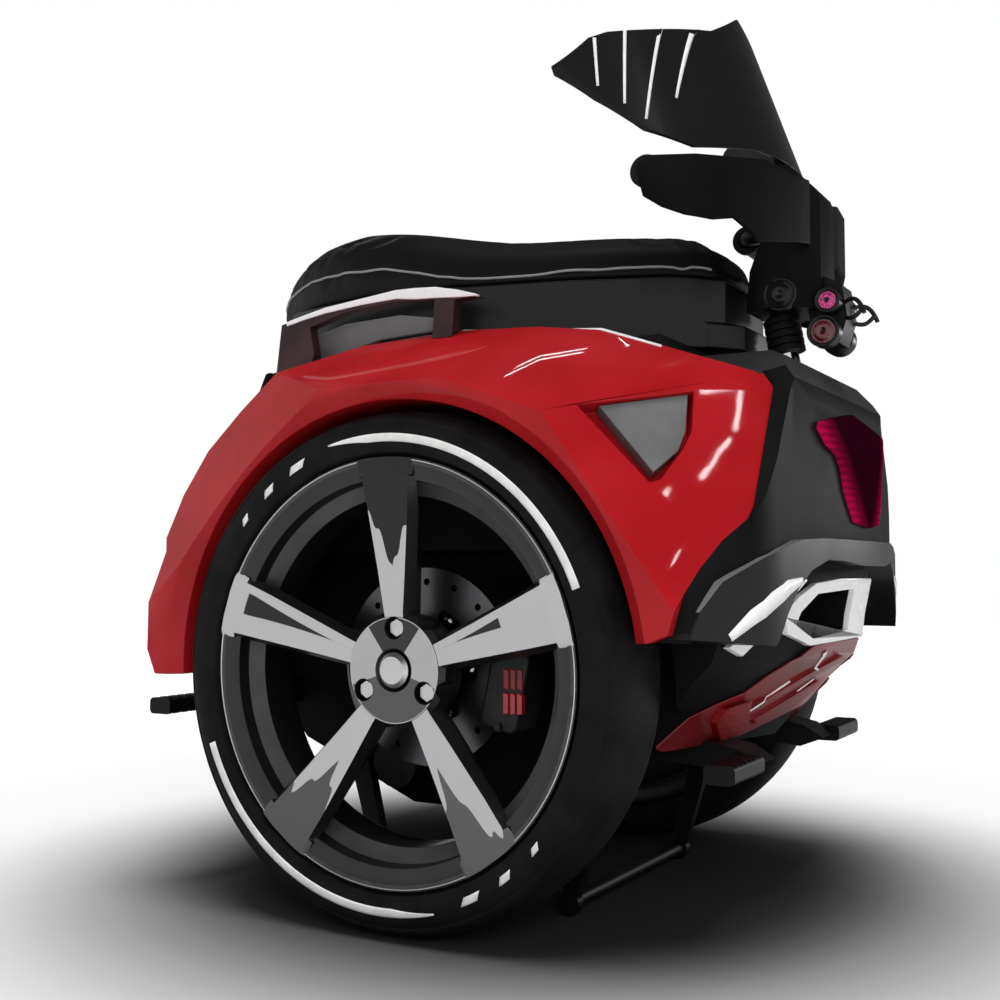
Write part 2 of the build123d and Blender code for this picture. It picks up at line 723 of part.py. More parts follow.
# Steering: stem and bellows, the tower's cowl, the bar, grips and hand guards.
stem_axis = (0, sin(radians(STEER_RAKE)), cos(radians(STEER_RAKE)))
stem_plane = Plane(origin=STEER_PIVOT, x_dir=(1, 0, 0), z_dir=stem_axis)
bellows_plane = stem_plane.offset(NOSE_TOP + BELLOWS_START)
with BuildPart() as steering_stem:
    with BuildSketch(stem_plane.offset(NOSE_TOP)):
        Circle(STEM_R)
    extrude(amount=STEM_LENGTH)
save(steering_stem.part, "steering_stem")

with BuildPart() as bellows:
    for n in range(BELLOWS_RIBS):
        with BuildSketch(bellows_plane.offset(n * BELLOWS_PITCH)):
            Circle(BELLOWS_R)
        extrude(amount=BELLOWS_PITCH - 3)
    with BuildSketch(bellows_plane):
        Circle(BELLOWS_R - 4)
    extrude(amount=BELLOWS_RIBS * BELLOWS_PITCH)
    with BuildSketch(stem_plane.offset(NOSE_TOP)):
        Circle(STEM_R + 0.1)
    extrude(amount=STEM_LENGTH, mode=Mode.SUBTRACT)
save(bellows.part, "bellows")

bar_half = [(78, CLAMP_Y, BAR_Z), (105, GRIP_Y, BAR_Z), (BAR_END_X, GRIP_Y, BAR_Z)]
with BuildPart() as handlebar:
    with BuildLine() as bar_line:
        FilletPolyline(*[(-x, y, z) for x, y, z in reversed(bar_half)], *bar_half, radius=24)
    with BuildSketch(Plane(origin=(-BAR_END_X, GRIP_Y, BAR_Z), z_dir=(1, 0, 0))):
        Circle(BAR_R)
    sweep(path=bar_line.line)
    for end in (-1, 1):
        with BuildSketch(Plane.YZ.offset(end * BAR_END_X)):
            with Locations((GRIP_Y, BAR_Z)):
                Circle(BAR_BORE[0])
        extrude(amount=-end * BAR_BORE[1], mode=Mode.SUBTRACT)
save(handlebar.part, "handlebar")

tower_side = [
    (-392, 700), (-394, 731), (-396, 760), (-394, 824), (-385, 844), (-362, 868), (-338, 870), (-324, 842),
    (-329, 783), (-310, 749), (-304, 702),
]
tower_plan = [(44, -303), (60, -325), (62, -340), (58, -362), (30, -390), (0, -396)]
with BuildPart() as tower_cowl:
    add(side_outline(tower_side, -80, 80))
    with BuildSketch(Plane.XY.offset(600)):
        with BuildLine():
            Polyline(*mirrored(tower_plan), close=True)
        make_face()
    extrude(amount=400, mode=Mode.INTERSECT)
    with BuildSketch(bellows_plane):
        Circle(BELLOWS_R)
    extrude(amount=BELLOWS_RIBS * BELLOWS_PITCH, mode=Mode.SUBTRACT)
    add(steering_stem.part, mode=Mode.SUBTRACT)
    add(handlebar.part, mode=Mode.SUBTRACT)
save(tower_cowl.part, "tower_cowl")

grip_half = [  # along the bar, radius
    (GRIP_IN_X, BAR_R + 0.1), (GRIP_IN_X, 19), (GRIP_IN_X + 6, 19), (GRIP_IN_X + 10, 15.5),
    (BAR_END_X - 8, 15.5), (BAR_END_X - 5, 18), (BAR_END_X, 18), (BAR_END_X, BAR_R + 0.1),
]
with BuildPart() as grip:
    with BuildSketch(Plane(origin=(0, GRIP_Y, BAR_Z), x_dir=(1, 0, 0), z_dir=(0, -1, 0))):
        with BuildLine():
            Polyline(*grip_half, close=True)
        make_face()
    revolve(axis=Axis((0, GRIP_Y, BAR_Z), (1, 0, 0)))
save_pair(grip.part, "grip")

# Windscreen: a smoked shell wrapped round the tower, raked back.
screen_half = [
    (0, 1082), (93, 1032), (213, 1003), (224, 996), (247, 962), (247, 950), (233, 918), (210, 882),
    (175, 866), (92, 879), (0, 877),
]
SCREEN_START = 20  # the shell is drawn from this far below its base
with BuildPart() as windscreen:
    with BuildSketch(Plane.XY.offset(SCREEN_BASE[1] - SCREEN_START)):
        with Locations((0, SCREEN_BASE[0] - SCREEN_START * tan(radians(SCREEN_RAKE)) + SCREEN_R)):
            Circle(SCREEN_R)
            Circle(SCREEN_R - SCREEN_T, mode=Mode.SUBTRACT)
            with Locations((0, SCREEN_R)):
                Rectangle(3 * SCREEN_R, 2 * SCREEN_R, mode=Mode.SUBTRACT)
    extrude(amount=260, dir=(0, sin(radians(SCREEN_RAKE)), cos(radians(SCREEN_RAKE))))
    add(front_outline(mirrored(screen_half), 100, -500), mode=Mode.INTERSECT)
save(windscreen.part, "windscreen")

with BuildPart() as screen_bracket:
    add(side_outline([(-354, 862), (-342, 862), (-296, 968), (-303, 968)], -28, 28))
    add(windscreen.part, mode=Mode.SUBTRACT)
    add(tower_cowl.part, mode=Mode.SUBTRACT)
save(screen_bracket.part, "screen_bracket")

# Hand guards: dark blades swept back from the tower in front of the grips.
guard_front = [
    (30, 840), (60, 845), (110, 839), (154, 846), (197, 840), (240, 836), (285, 827), (296, 817), (288, 783),
    (270, 774), (248, 769), (220, 768), (197, 773), (175, 762), (165, 752), (120, 760), (60, 770), (30, 772),
]
guard_line = [(34, -379), (62, -387), (100, -385), (154, -366), (200, -345), (240, -318), (296, -276)]
with BuildPart() as hand_guard:
    with BuildSketch(Plane.XY.offset(740)):
        with BuildLine():
            inner_line = [(x - 2, y + GUARD_T) for x, y in reversed(guard_line)]
            Polyline(*guard_line, *inner_line, close=True)
        make_face()
    extrude(amount=120)
    add(front_outline(guard_front), mode=Mode.INTERSECT)
    add(tower_cowl.part, mode=Mode.SUBTRACT)
save_pair(hand_guard.part, "hand_guard")

# Lamp cluster under the tower: a carrier with two round lamps that face both sides.
lamps = [  # distance along the scooter, height, radius
    (-399, 708, 15),
    (-394, 672, 19),
]
carrier_side = [(-372, 700), (-392, 740), (-412, 728), (-418, 690), (-408, 660), (-380, 662)]
with BuildPart() as lamp_carrier:
    add(side_outline(carrier_side, -LAMP_CARRIER_X, LAMP_CARRIER_X))
    add(tower_cowl.part, mode=Mode.SUBTRACT)
save(lamp_carrier.part, "lamp_carrier")

with BuildPart() as side_lamps:
    for end in (-1, 1):
        for lamp_y, lamp_z, radius in lamps:
            with BuildSketch(Plane.YZ.offset(end * LAMP_CARRIER_X)):
                with Locations((lamp_y, lamp_z)):
                    Circle(radius)
            extrude(amount=end * 20)
    add(tower_cowl.part, mode=Mode.SUBTRACT)
save(side_lamps.part, "side_lamps")
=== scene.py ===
# %% [markdown]
# # A seated self-balancing scooter
# Two 17-inch wheels stand side by side under a long saddle, and the rider steers with a bar on a short
# tower. The CAD model gives the shape and the joints. This lesson gives it its finishes, its soft seat and
# the small things that catch the light, and never moves or reshapes a CAD part.

import bmesh
import bpy
import json
from math import cos, degrees, hypot, pi, radians, sin
from mathutils import Matrix, Vector
from mathutils.bvhtree import BVHTree

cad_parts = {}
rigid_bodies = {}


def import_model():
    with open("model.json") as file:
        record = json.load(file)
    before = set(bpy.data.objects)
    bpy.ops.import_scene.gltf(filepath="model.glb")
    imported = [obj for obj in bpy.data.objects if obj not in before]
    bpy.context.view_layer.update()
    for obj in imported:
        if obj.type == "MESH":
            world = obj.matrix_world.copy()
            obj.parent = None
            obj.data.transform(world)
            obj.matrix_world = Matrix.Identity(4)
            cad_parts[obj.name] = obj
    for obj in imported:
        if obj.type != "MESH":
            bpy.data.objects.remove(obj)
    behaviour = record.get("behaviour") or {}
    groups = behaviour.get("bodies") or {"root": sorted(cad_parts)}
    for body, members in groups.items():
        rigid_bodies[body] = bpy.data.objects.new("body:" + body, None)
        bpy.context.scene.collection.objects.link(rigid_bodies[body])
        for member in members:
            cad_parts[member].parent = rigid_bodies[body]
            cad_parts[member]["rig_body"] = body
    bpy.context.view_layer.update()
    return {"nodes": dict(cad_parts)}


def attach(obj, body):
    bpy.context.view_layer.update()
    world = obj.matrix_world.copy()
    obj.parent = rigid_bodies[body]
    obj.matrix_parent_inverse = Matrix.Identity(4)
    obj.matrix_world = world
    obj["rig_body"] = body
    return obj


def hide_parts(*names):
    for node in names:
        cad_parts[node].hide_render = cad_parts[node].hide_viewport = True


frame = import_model()
scene = bpy.context.scene

# %% [markdown]
# ## The camera
# The photograph was taken low and close to the right-hand wheel. The place, the direction and the lens were
# worked out from the wheels' round outlines, so the model and the photograph line up without any fitting by
# hand.

# %% Camera
camera = bpy.data.objects.new("camera", bpy.data.cameras.new("camera"))
scene.collection.objects.link(camera)
camera.location = (-1.4782, -0.7901, 0.3946)
camera.rotation_euler = Vector((0.8653, 0.4980, 0.0561)).to_track_quat("-Z", "Y").to_euler()
camera.data.lens = 45.28
camera.data.sensor_width = 36
scene.camera = camera
print("camera looks along", [round(v, 3) for v in camera.matrix_basis.to_quaternion() @ Vector((0, 0, -1))])

# %% [markdown]
# ## Helpers for materials
# Colours are written as the sRGB hex values that a paint chart or a picture editor shows, and one function
# turns them to the linear values that Blender's sockets take. A second function adds a node with its
# settings and links, and the last two let a pattern of a real size drive a material's tones, roughness or
# relief.

# %% Colour and node helpers
MM = 0.001


def srgb(code, alpha=1.0):
    """'#RRGGBB' as linear red, green, blue and alpha."""
    values = [int(code[i:i + 2], 16) / 255 for i in (1, 3, 5)]
    return [v / 12.92 if v <= 0.04045 else ((v + 0.055) / 1.055) ** 2.4 for v in values] + [alpha]


def add(tree, kind, sockets=None, **settings):
    """Adds a shader node. sockets gives each input a value, or an output to link it to."""
    node = tree.nodes.new("ShaderNode" + kind)
    for key, value in settings.items():
        setattr(node, key, value)
    for key, value in (sockets or {}).items():
        if isinstance(value, bpy.types.NodeSocket):
            tree.links.new(value, node.inputs[key])
        else:
            node.inputs[key].default_value = value
    return node


def make_material(name, colour, roughness, **sockets):
    """A Principled material; returns it with its node tree and its shader."""
    material = bpy.data.materials.new(name)
    material.use_nodes = True
    tree = material.node_tree
    shader = tree.nodes["Principled BSDF"]
    shader.inputs["Base Color"].default_value = srgb(colour)
    shader.inputs["Roughness"].default_value = roughness
    for key, value in sockets.items():
        shader.inputs[key.replace("_", " ")].default_value = value
    return material, tree, shader


def drive(tree, shader, height, tones=None, rough=None, depth_mm=0.0, strength=1.0):
    """Lets one pattern set two tones, a range of roughness or a bump of real depth, over earlier bumps."""
    if tones:
        ramp = add(tree, "ValToRGB", {"Fac": height})
        for element, position, tone in zip(ramp.color_ramp.elements, (0.35, 0.65), tones):
            element.position = position
            element.color = srgb(tone)
        tree.links.new(ramp.outputs["Color"], shader.inputs["Base Color"])
    if rough:
        spread = add(tree, "MapRange", {"Value": height, "To Min": rough[0], "To Max": rough[1]})
        tree.links.new(spread.outputs["Result"], shader.inputs["Roughness"])
    if depth_mm:
        bump = add(tree, "Bump", {"Height": height, "Distance": depth_mm * MM, "Strength": strength})
        if shader.inputs["Normal"].is_linked:
            tree.links.new(shader.inputs["Normal"].links[0].from_socket, bump.inputs["Normal"])
        tree.links.new(bump.outputs["Normal"], shader.inputs["Normal"])


def pattern(tree, shader, size_mm, detail=2.0, cells=False, **driven):
    """Lumps, or cells, of a real size that drive a surface's tones, roughness or relief."""
    sockets = {"Vector": add(tree, "TexCoord").outputs["Object"], "Scale": 1000 / size_mm}
    if cells:
        height = add(tree, "TexVoronoi", sockets, feature="DISTANCE_TO_EDGE").outputs["Distance"]
    else:
        height = add(tree, "TexNoise", {**sockets, "Detail": detail}).outputs["Fac"]
    drive(tree, shader, height, **driven)
    return height


print("helpers ready, mid grey is", round(srgb("#808080")[0], 3))

# %% [markdown]
# ## Painted bodywork
# The fenders are ABS mouldings sprayed in two layers: a red base coat and a clear coat over it. The clear
# coat gives sharp white reflections over a deep colour, so it goes on the shader's coat, with the slight
# waviness that a sprayed surface always has, about 9 mm across.

# %% Red two-layer paint
red_paint, tree, shader = make_material("two-layer red paint", "#A80A12", 0.5, Coat_Weight=0.3,
                                        Coat_Roughness=0.03, Specular_IOR_Level=0.06)
pattern(tree, shader, 90, tones=("#A01319", "#AC1A21"), detail=1)
pattern(tree, shader, 9, depth_mm=0.03, strength=0.25, detail=1)
tree.links.new(shader.inputs["Normal"].links[0].from_socket, shader.inputs["Coat Normal"])
print(red_paint.name)

# %% [markdown]
# ## Black and grey mouldings
# The nose, the tub and the tail are ABS moulded in a spark-eroded steel tool, which leaves a fine even
# grain. It turns a sharp highlight into a soft grey one. Such a grain is about 0.6 mm across and is drawn
# at 1.2 mm so that it shows. The seat's base is polished a little more and looks satin.

# %% Black plastics
black_abs, tree, shader = make_material("grained black ABS", "#0C0C0E", 0.5, Specular_IOR_Level=0.03)
pattern(tree, shader, 120, tones=("#101011", "#18181A"))
pattern(tree, shader, 1.2, depth_mm=0.06, strength=0.6)

satin_black, tree, shader = make_material("satin black ABS", "#121213", 0.34, Specular_IOR_Level=0.3)
pattern(tree, shader, 40, rough=(0.3, 0.4))
pattern(tree, shader, 3, depth_mm=0.03, strength=0.3)
print(black_abs.name, satin_black.name)

# %% [markdown]
# The grey trim is painted, and the paint levels the grain out, so its bumps are weak. The bumper band's
# upper facets are given a pale metallic grey, a painted highlight where the front light falls, and they
# catch the front light too; the frame and the blades are plain silver under a clear coat.

# %% Grey and silver plastics
grey_abs, tree, shader = make_material("satin grey painted ABS", "#5A5A5B", 0.42, Metallic=0.1,
                                       Specular_IOR_Level=0.1)
pattern(tree, shader, 60, tones=("#666667", "#747475"))
pattern(tree, shader, 2, depth_mm=0.03, strength=0.4)

# painted highlight: the bumper band's upper facets are painted pale grey where the front light falls
band_painted_top_light, tree, shader = make_material("metallic ABS with painted top light", "#9A9A9D", 0.38, Metallic=0.6)
pattern(tree, shader, 40, rough=(0.34, 0.42))
pattern(tree, shader, 3, depth_mm=0.03, strength=0.3)

# painted highlight: the nose's upward facets are painted slate grey where light falls from above
nose_painted_top_light, tree, shader = make_material("nose ABS with painted top light", "#303031", 0.45, Specular_IOR_Level=0.08)
pattern(tree, shader, 60, tones=("#2B2B2C", "#353536"))
pattern(tree, shader, 1.6, depth_mm=0.04, strength=0.5)

silver_paint, tree, shader = make_material("silver painted ABS", "#F8F8FA", 0.26, Coat_Weight=0.5)
pattern(tree, shader, 30, rough=(0.2, 0.32))
print(grey_abs.name, band_painted_top_light.name, nose_painted_top_light.name, silver_paint.name)

# %% [markdown]
# ## Red and smoked plastics
# The diffuser and the rail's legs are polycarbonate tinted in the mass, dull red and maroon in daylight. A
# reflector is acrylic whose back is moulded in small prisms, 3.5 mm across, and the screen is a smooth
# smoked sheet.

# %% Tinted plastics
dull_red, tree, shader = make_material("tinted red polycarbonate", "#7A1A20", 0.3, Coat_Weight=0.25,
                                       Specular_IOR_Level=0.3)
pattern(tree, shader, 70, tones=("#6A1218", "#8A2028"))

maroon, tree, shader = make_material("smoked maroon polycarbonate", "#2E1C1E", 0.3, Coat_Weight=0.1,
                                     Specular_IOR_Level=0.2)
pattern(tree, shader, 50, tones=("#28181A", "#3E2629"))

prism_red, tree, shader = make_material("prismatic red acrylic", "#8A0810", 0.2, Coat_Weight=0.3,
                                        Specular_IOR_Level=0.2)
pattern(tree, shader, 3.5, depth_mm=0.8, strength=0.8, cells=True)

smoked, tree, shader = make_material("smoked polycarbonate sheet", "#1B1B1C", 0.22, Specular_IOR_Level=0.12)
pattern(tree, shader, 60, rough=(0.18, 0.28))
print(dull_red.name, maroon.name, prism_red.name, smoked.name)

# %% [markdown]
# ## The lit lens
# The front lamp is lit from behind along its curved outer edges, so it glows there and is nearly black in
# the middle. The brightness is a function of where a point lies across the lens: it falls off inwards from
# the two outer edges, which lean outwards as they go up. Fine level bands stand for the lens's moulded
# ribs. The outer skin is matt.

# %% Lamp lens
lens, tree, shader = make_material("lit red polycarbonate lens", "#14020A", 0.7, Specular_IOR_Level=0.0)
here = add(tree, "TexCoord").outputs["Object"]
spot = add(tree, "SeparateXYZ", {"Vector": here})
across = add(tree, "Math", {0: spot.outputs["X"]}, operation="ABSOLUTE").outputs[0]
edge = add(tree, "MapRange", {"Value": spot.outputs["Z"], "From Min": 0.447, "From Max": 0.575,
                              "To Min": 0.088, "To Max": 0.200}).outputs["Result"]
inward = add(tree, "Math", {0: edge, 1: across}, operation="SUBTRACT").outputs[0]
glow = add(tree, "MapRange", {"Value": inward, "From Min": 0.0, "From Max": 0.085,
                              "To Min": 1.0, "To Max": 0.0}).outputs["Result"]
stripes = add(tree, "TexWave", {"Vector": here, "Scale": 40.0, "Distortion": 1.5}, bands_direction="Z")
wavy = add(tree, "MapRange", {"Value": stripes.outputs["Fac"], "To Min": 0.75, "To Max": 1.0})
shine = add(tree, "Math", {0: glow, 1: wavy.outputs["Result"]}, operation="MULTIPLY").outputs[0]
ramp = add(tree, "ValToRGB", {"Fac": shine})
ramp.color_ramp.elements[0].color = srgb("#1C0209")
ramp.color_ramp.elements[1].color = srgb("#D01458")
for position, code in ((0.3, "#5E0520"), (0.7, "#B40C46")):
    ramp.color_ramp.elements.new(position).color = srgb(code)
tree.links.new(ramp.outputs["Color"], shader.inputs["Emission Color"])
shader.inputs["Emission Strength"].default_value = 1.1
print(lens.name, "with", len(ramp.color_ramp.elements), "tones")

# %% [markdown]
# The two small lamps of the cluster are pressed acrylic, whose cells of 4 to 5 mm break the light up. The
# upper one is lit, and its cells are brighter in the middle than at their edges; the lower one is plain red
# acrylic.

# %% Acrylic lamps
magenta_lamp, tree, shader = make_material("lit magenta acrylic", "#3A0620", 0.16, Coat_Weight=0.6)
grooves = pattern(tree, shader, 4, depth_mm=0.8, strength=0.6, cells=True)
ramp = add(tree, "ValToRGB", {"Fac": grooves})
ramp.color_ramp.elements[0].color = srgb("#7A0A44")
ramp.color_ramp.elements[1].color = srgb("#F040A0")
ramp.color_ramp.elements[1].position = 0.4
tree.links.new(ramp.outputs["Color"], shader.inputs["Emission Color"])
shader.inputs["Emission Strength"].default_value = 0.75

deep_red_lamp, tree, shader = make_material("unlit red acrylic", "#5A0814", 0.14, Coat_Weight=0.8)
pattern(tree, shader, 5, depth_mm=1.2, strength=0.9, cells=True)
print(magenta_lamp.name, deep_red_lamp.name)

# %% [markdown]
# ## Wheel and brake metals
# The wheels are cast aluminium alloy under satin enamel, dark on the barrel. Its outward-facing cone is
# painted grey, a painted sheen where light falls on it. The discs are ground steel, whose fine rings follow
# the radius, so their pattern is noise read along the distance from the axle. The function that works this
# distance out serves the spokes too.

# %% Wheel metals
AXLE_Z = 0.286  # the axle's height, in metres


def in_wheel_plane(tree):
    """A point's place along the scooter, its height over the axle and its distance from the axle's line."""
    spot = add(tree, "SeparateXYZ", {"Vector": add(tree, "TexCoord").outputs["Object"]})
    height = add(tree, "Math", {0: spot.outputs["Z"], 1: -AXLE_Z}, operation="ADD").outputs[0]
    flat = add(tree, "CombineXYZ", {"X": spot.outputs["Y"], "Y": height})
    radius = add(tree, "VectorMath", {0: flat.outputs["Vector"]}, operation="LENGTH").outputs["Value"]
    return spot.outputs["Y"], height, radius


bright_alloy, tree, shader = make_material("machined aluminium", "#C4C4C6", 0.28, Metallic=1.0)
pattern(tree, shader, 25, rough=(0.22, 0.34))

dark_alloy, tree, shader = make_material("satin dark wheel enamel", "#1B1B1D", 0.36, Metallic=0.2,
                                         Coat_Weight=0.1, Coat_Roughness=0.12)
pattern(tree, shader, 60, tones=("#111112", "#1A1A1B"))

# painted sheen: the barrel's outward-facing cone is painted lighter grey where light falls on it
cone_painted_sheen, tree, shader = make_material("wheel enamel with painted sheen", "#444446", 0.4, Metallic=0.2,
                                         Specular_IOR_Level=0.3)
pattern(tree, shader, 50, tones=("#3C3C3E", "#4A4A4C"))

ground_steel, tree, shader = make_material("ground steel", "#58585B", 0.3, Metallic=1.0)
_, _, radius = in_wheel_plane(tree)
along = add(tree, "CombineXYZ", {"X": radius}).outputs["Vector"]
rings = add(tree, "TexNoise", {"Vector": along, "Scale": 900.0}).outputs["Fac"]
drive(tree, shader, rings, rough=(0.2, 0.42), depth_mm=0.03, strength=0.5)
print(bright_alloy.name, dark_alloy.name, cone_painted_sheen.name, ground_steel.name)

# %% [markdown]
# ## Castings, tubes and bolts
# The drive cases are sand-cast and black, with the coarse skin that the sand leaves. Tubes are
# powder-coated, which gives an orange-peel skin of about 2 mm. A metal keeps the default IOR; its look
# comes from roughness and grain.

# %% Steel and castings
cast_black, tree, shader = make_material("black sand-cast aluminium", "#19191B", 0.5, Metallic=0.4)
pattern(tree, shader, 30, tones=("#101012", "#1E1E21"))
pattern(tree, shader, 1.6, depth_mm=0.15, strength=0.7)

dark_steel, tree, shader = make_material("black zinc-plated steel", "#2A2A2D", 0.34, Metallic=0.9)
pattern(tree, shader, 12, rough=(0.28, 0.42))

coated_steel, tree, shader = make_material("powder-coated steel", "#121214", 0.44, Metallic=0.1,
                                           Specular_IOR_Level=0.15)
pattern(tree, shader, 2.2, depth_mm=0.08, strength=0.6)

red_enamel, tree, shader = make_material("red caliper enamel", "#A81424", 0.3, Coat_Weight=0.5)
pattern(tree, shader, 3, depth_mm=0.1, strength=0.5)

chrome, tree, shader = make_material("chromed steel", "#D8D8DA", 0.1, Metallic=1.0)
pattern(tree, shader, 20, rough=(0.07, 0.14))
print(cast_black.name, dark_steel.name, coated_steel.name, red_enamel.name, chrome.name)

# %% [markdown]
# ## The spokes' painted reflections
# Each spoke's outer face carries a painted reflection: a painted highlight from the hub outwards, and a
# darker painted tone beyond a boundary. The boundary is worked out in the wheel's own plane: a point's angle
# is folded to the nearest spoke, and its place across that spoke is given as a share of the face's
# half-width, from -1 to 1.

# %% Which spoke, how far out and how far across
# painted reflections: the spokes' outer faces get a painted highlight and darker painted tones
spoke_painted_reflection, tree, shader = make_material("alloy with painted reflections", "#B9B9BB", 0.34, Metallic=0.25)
SPOKE_STEP = 2 * pi / 5
value = dict(zip(("y", "height", "radius"), in_wheel_plane(tree)))


def work_out(steps):
    """Adds nodes in order: a step names its result, what it does, and the numbers or results it takes."""
    for name, does, *inputs in steps:
        taken = [value.get(item, item) for item in inputs]
        if does == "RANGE":
            limits = ("Value", "From Min", "From Max", "To Min", "To Max")
            node = add(tree, "MapRange", dict(zip(limits, taken)))
        else:
            node = add(tree, "Math", dict(enumerate(taken)), operation=does)
        value[name] = node.outputs[0]


work_out([
    ("turn", "ARCTAN2", "height", "y"),
    ("from below", "ADD", "turn", pi / 2),
    ("folded", "FLOORED_MODULO", "from below", SPOKE_STEP),
    ("off middle", "ADD", "folded", -SPOKE_STEP / 2),
    ("sine", "SINE", "off middle"),
    ("across", "MULTIPLY", "sine", "radius"),
    ("half face", "RANGE", "radius", 0.064, 0.232, 0.0125, 0.033),
    ("share", "DIVIDE", "across", "half face"),
    ("turns", "DIVIDE", "from below", SPOKE_STEP),
    ("whole turns", "FLOOR", "turns"),
    ("number", "FLOORED_MODULO", "whole turns", 5.0),
    ("middle of number", "ADD", "number", 0.5),
    ("pointer", "DIVIDE", "middle of number", 5.0),
])
print("angle between spokes", round(degrees(SPOKE_STEP)))

# %% [markdown]
# The painted reflection differs from spoke to spoke, so its numbers come from colour ramps with five flat
# steps, read by the number of the spoke. The painted highlight ends in a valley on the middle line and
# reaches further out, in lobes, at both edges.

# %% Numbers that differ from spoke to spoke
painted_reflection_values = {  # for the lower rear, rear, top, front and lower front spoke
    "lobe": (0.186, 0.262, 0.171, 0.262, 0.214),
    "valley": (0.128, 0.236, 0.109, 0.236, 0.120),
    "lean": (0.62, 0.5, 0.44, 0.5, 0.26),
    "wedge place": (0.5, 0.62, 0.5, 0.30, 0.5),
    "wedge end": (0.0, 0.207, 0.0, 0.150, 0.0),
    # each spoke's painted tones: beyond the painted highlight, and at the centre
    "outer painted tone": ("#525254", "#161617", "#0F0F10", "#161617", "#5C5C5E"),
    "centre painted tone": ("#565658", "#B6B6B8", "#2C2C2E", "#B6B6B8", "#565658"),
}
for name, five in painted_reflection_values.items():
    ramp = add(tree, "ValToRGB", {"Fac": value["pointer"]})
    ramp.color_ramp.interpolation = "CONSTANT"
    ramp.color_ramp.elements.remove(ramp.color_ramp.elements[1])
    for n, entry in enumerate(five):
        element = ramp.color_ramp.elements[0] if n == 0 else ramp.color_ramp.elements.new(n / 5)
        element.color = srgb(entry) if isinstance(entry, str) else (entry, entry, entry, 1)
    value[name] = ramp.outputs["Color"]
print("spoke numbers", ", ".join(painted_reflection_values))

# %% [markdown]
# A point carries the painted highlight where its radius is less than the highlight's reach there. The rear
# and front spokes also have a dark wedge cut into the painted highlight, which widens outwards. The
# boundaries are about a millimetre wide, so they look crisp.

# %% Painted highlight, painted outer tone and dark wedge
EDGE = 0.0007  # half the width of a boundary between tones, in metres
work_out([
    ("lean from middle", "SUBTRACT", "lean", 0.5),
    ("shift", "MULTIPLY", "lean from middle", 2.0),
    ("leaning", "ADD", "share", "shift"),
    ("beside middle", "ABSOLUTE", "leaning"),
    ("fan", "MINIMUM", "beside middle", 1.0),
    ("wave angle", "MULTIPLY", "across", 420.0),
    ("wave", "SINE", "wave angle"),
    ("ripple", "MULTIPLY", "wave", 0.006),
    ("lowest", "ADD", "valley", "ripple"),
    ("rise", "SUBTRACT", "lobe", "valley"),
    ("risen", "MULTIPLY", "rise", "fan"),
    ("reach", "ADD", "lowest", "risen"),
    ("reach left", "SUBTRACT", "reach", "radius"),
    ("bright", "RANGE", "reach left", -EDGE, EDGE),
])
work_out([
    ("wedge from middle", "SUBTRACT", "wedge place", 0.5),
    ("wedge line", "MULTIPLY", "wedge from middle", 2.0),
    ("from wedge line", "SUBTRACT", "share", "wedge line"),
    ("wedge distance", "ABSOLUTE", "from wedge line"),
    ("wedge width", "RANGE", "radius", 0.085, 0.2, 0.0, 0.42),
    ("inside", "SUBTRACT", "wedge width", "wedge distance"),
    ("in wedge", "RANGE", "inside", -0.015, 0.015),
    ("wedge left", "SUBTRACT", "wedge end", "radius"),
    ("within", "RANGE", "wedge left", -EDGE, EDGE),
    ("wedge", "MULTIPLY", "in wedge", "within"),
    ("cut", "SUBTRACT", 1.0, "wedge"),
    ("painted highlight", "MULTIPLY", "bright", "cut"),
    ("centre", "RANGE", "radius", 0.0565, 0.0575, 1.0, 0.0),
])
# the painted highlight's tone over the painted outer tone, then the centre's painted tone
tones = {"Factor": value["painted highlight"], 6: value["outer painted tone"], 7: srgb("#C2C2C4")}
arms_with_highlight = add(tree, "Mix", tones, data_type="RGBA").outputs[2]
tones = {"Factor": value["centre"], 6: arms_with_highlight, 7: value["centre painted tone"]}
face = add(tree, "Mix", tones, data_type="RGBA").outputs[2]
tree.links.new(face, shader.inputs["Base Color"])
pattern(tree, shader, 20, rough=(0.3, 0.4))
print(spoke_painted_reflection.name, "from", len(tree.nodes), "nodes")

# %% [markdown]
# ## Rubber, leather and sidewall paint
# Tyre rubber is matt with a faint bloom. The seat is grained synthetic leather: its cells are about 1.5 mm
# across, with soft hollows of a few centimetres where the foam gives. The white marks are flexible paint on
# the sidewall.

# %% Rubber and leather
tyre_rubber, tree, shader = make_material("tyre rubber", "#121213", 0.7, Specular_IOR_Level=0.12)
pattern(tree, shader, 35, tones=("#0E0E0F", "#171718"), detail=3)
pattern(tree, shader, 1.4, depth_mm=0.12, strength=0.7)

soft_rubber, tree, shader = make_material("moulded rubber", "#101011", 0.66, Specular_IOR_Level=0.2)
pattern(tree, shader, 1.2, depth_mm=0.1, strength=0.6)

wall_paint, tree, shader = make_material("white sidewall paint", "#ECECEA", 0.5)
pattern(tree, shader, 18, tones=("#E2E2E0", "#F2F2F0"))

leather, tree, shader = make_material("grained black leathercloth", "#101012", 0.5, Specular_IOR_Level=0.14)
pattern(tree, shader, 1.5, depth_mm=0.25, strength=0.45, cells=True)
pattern(tree, shader, 45, depth_mm=1.2, strength=0.3, detail=1)
pattern(tree, shader, 80, rough=(0.42, 0.56))

piping_cord, tree, shader = make_material("grey vinyl piping", "#8C8C8E", 0.4)
pattern(tree, shader, 1.5, depth_mm=0.08, strength=0.5)
print(tyre_rubber.name, soft_rubber.name, wall_paint.name, leather.name, piping_cord.name)

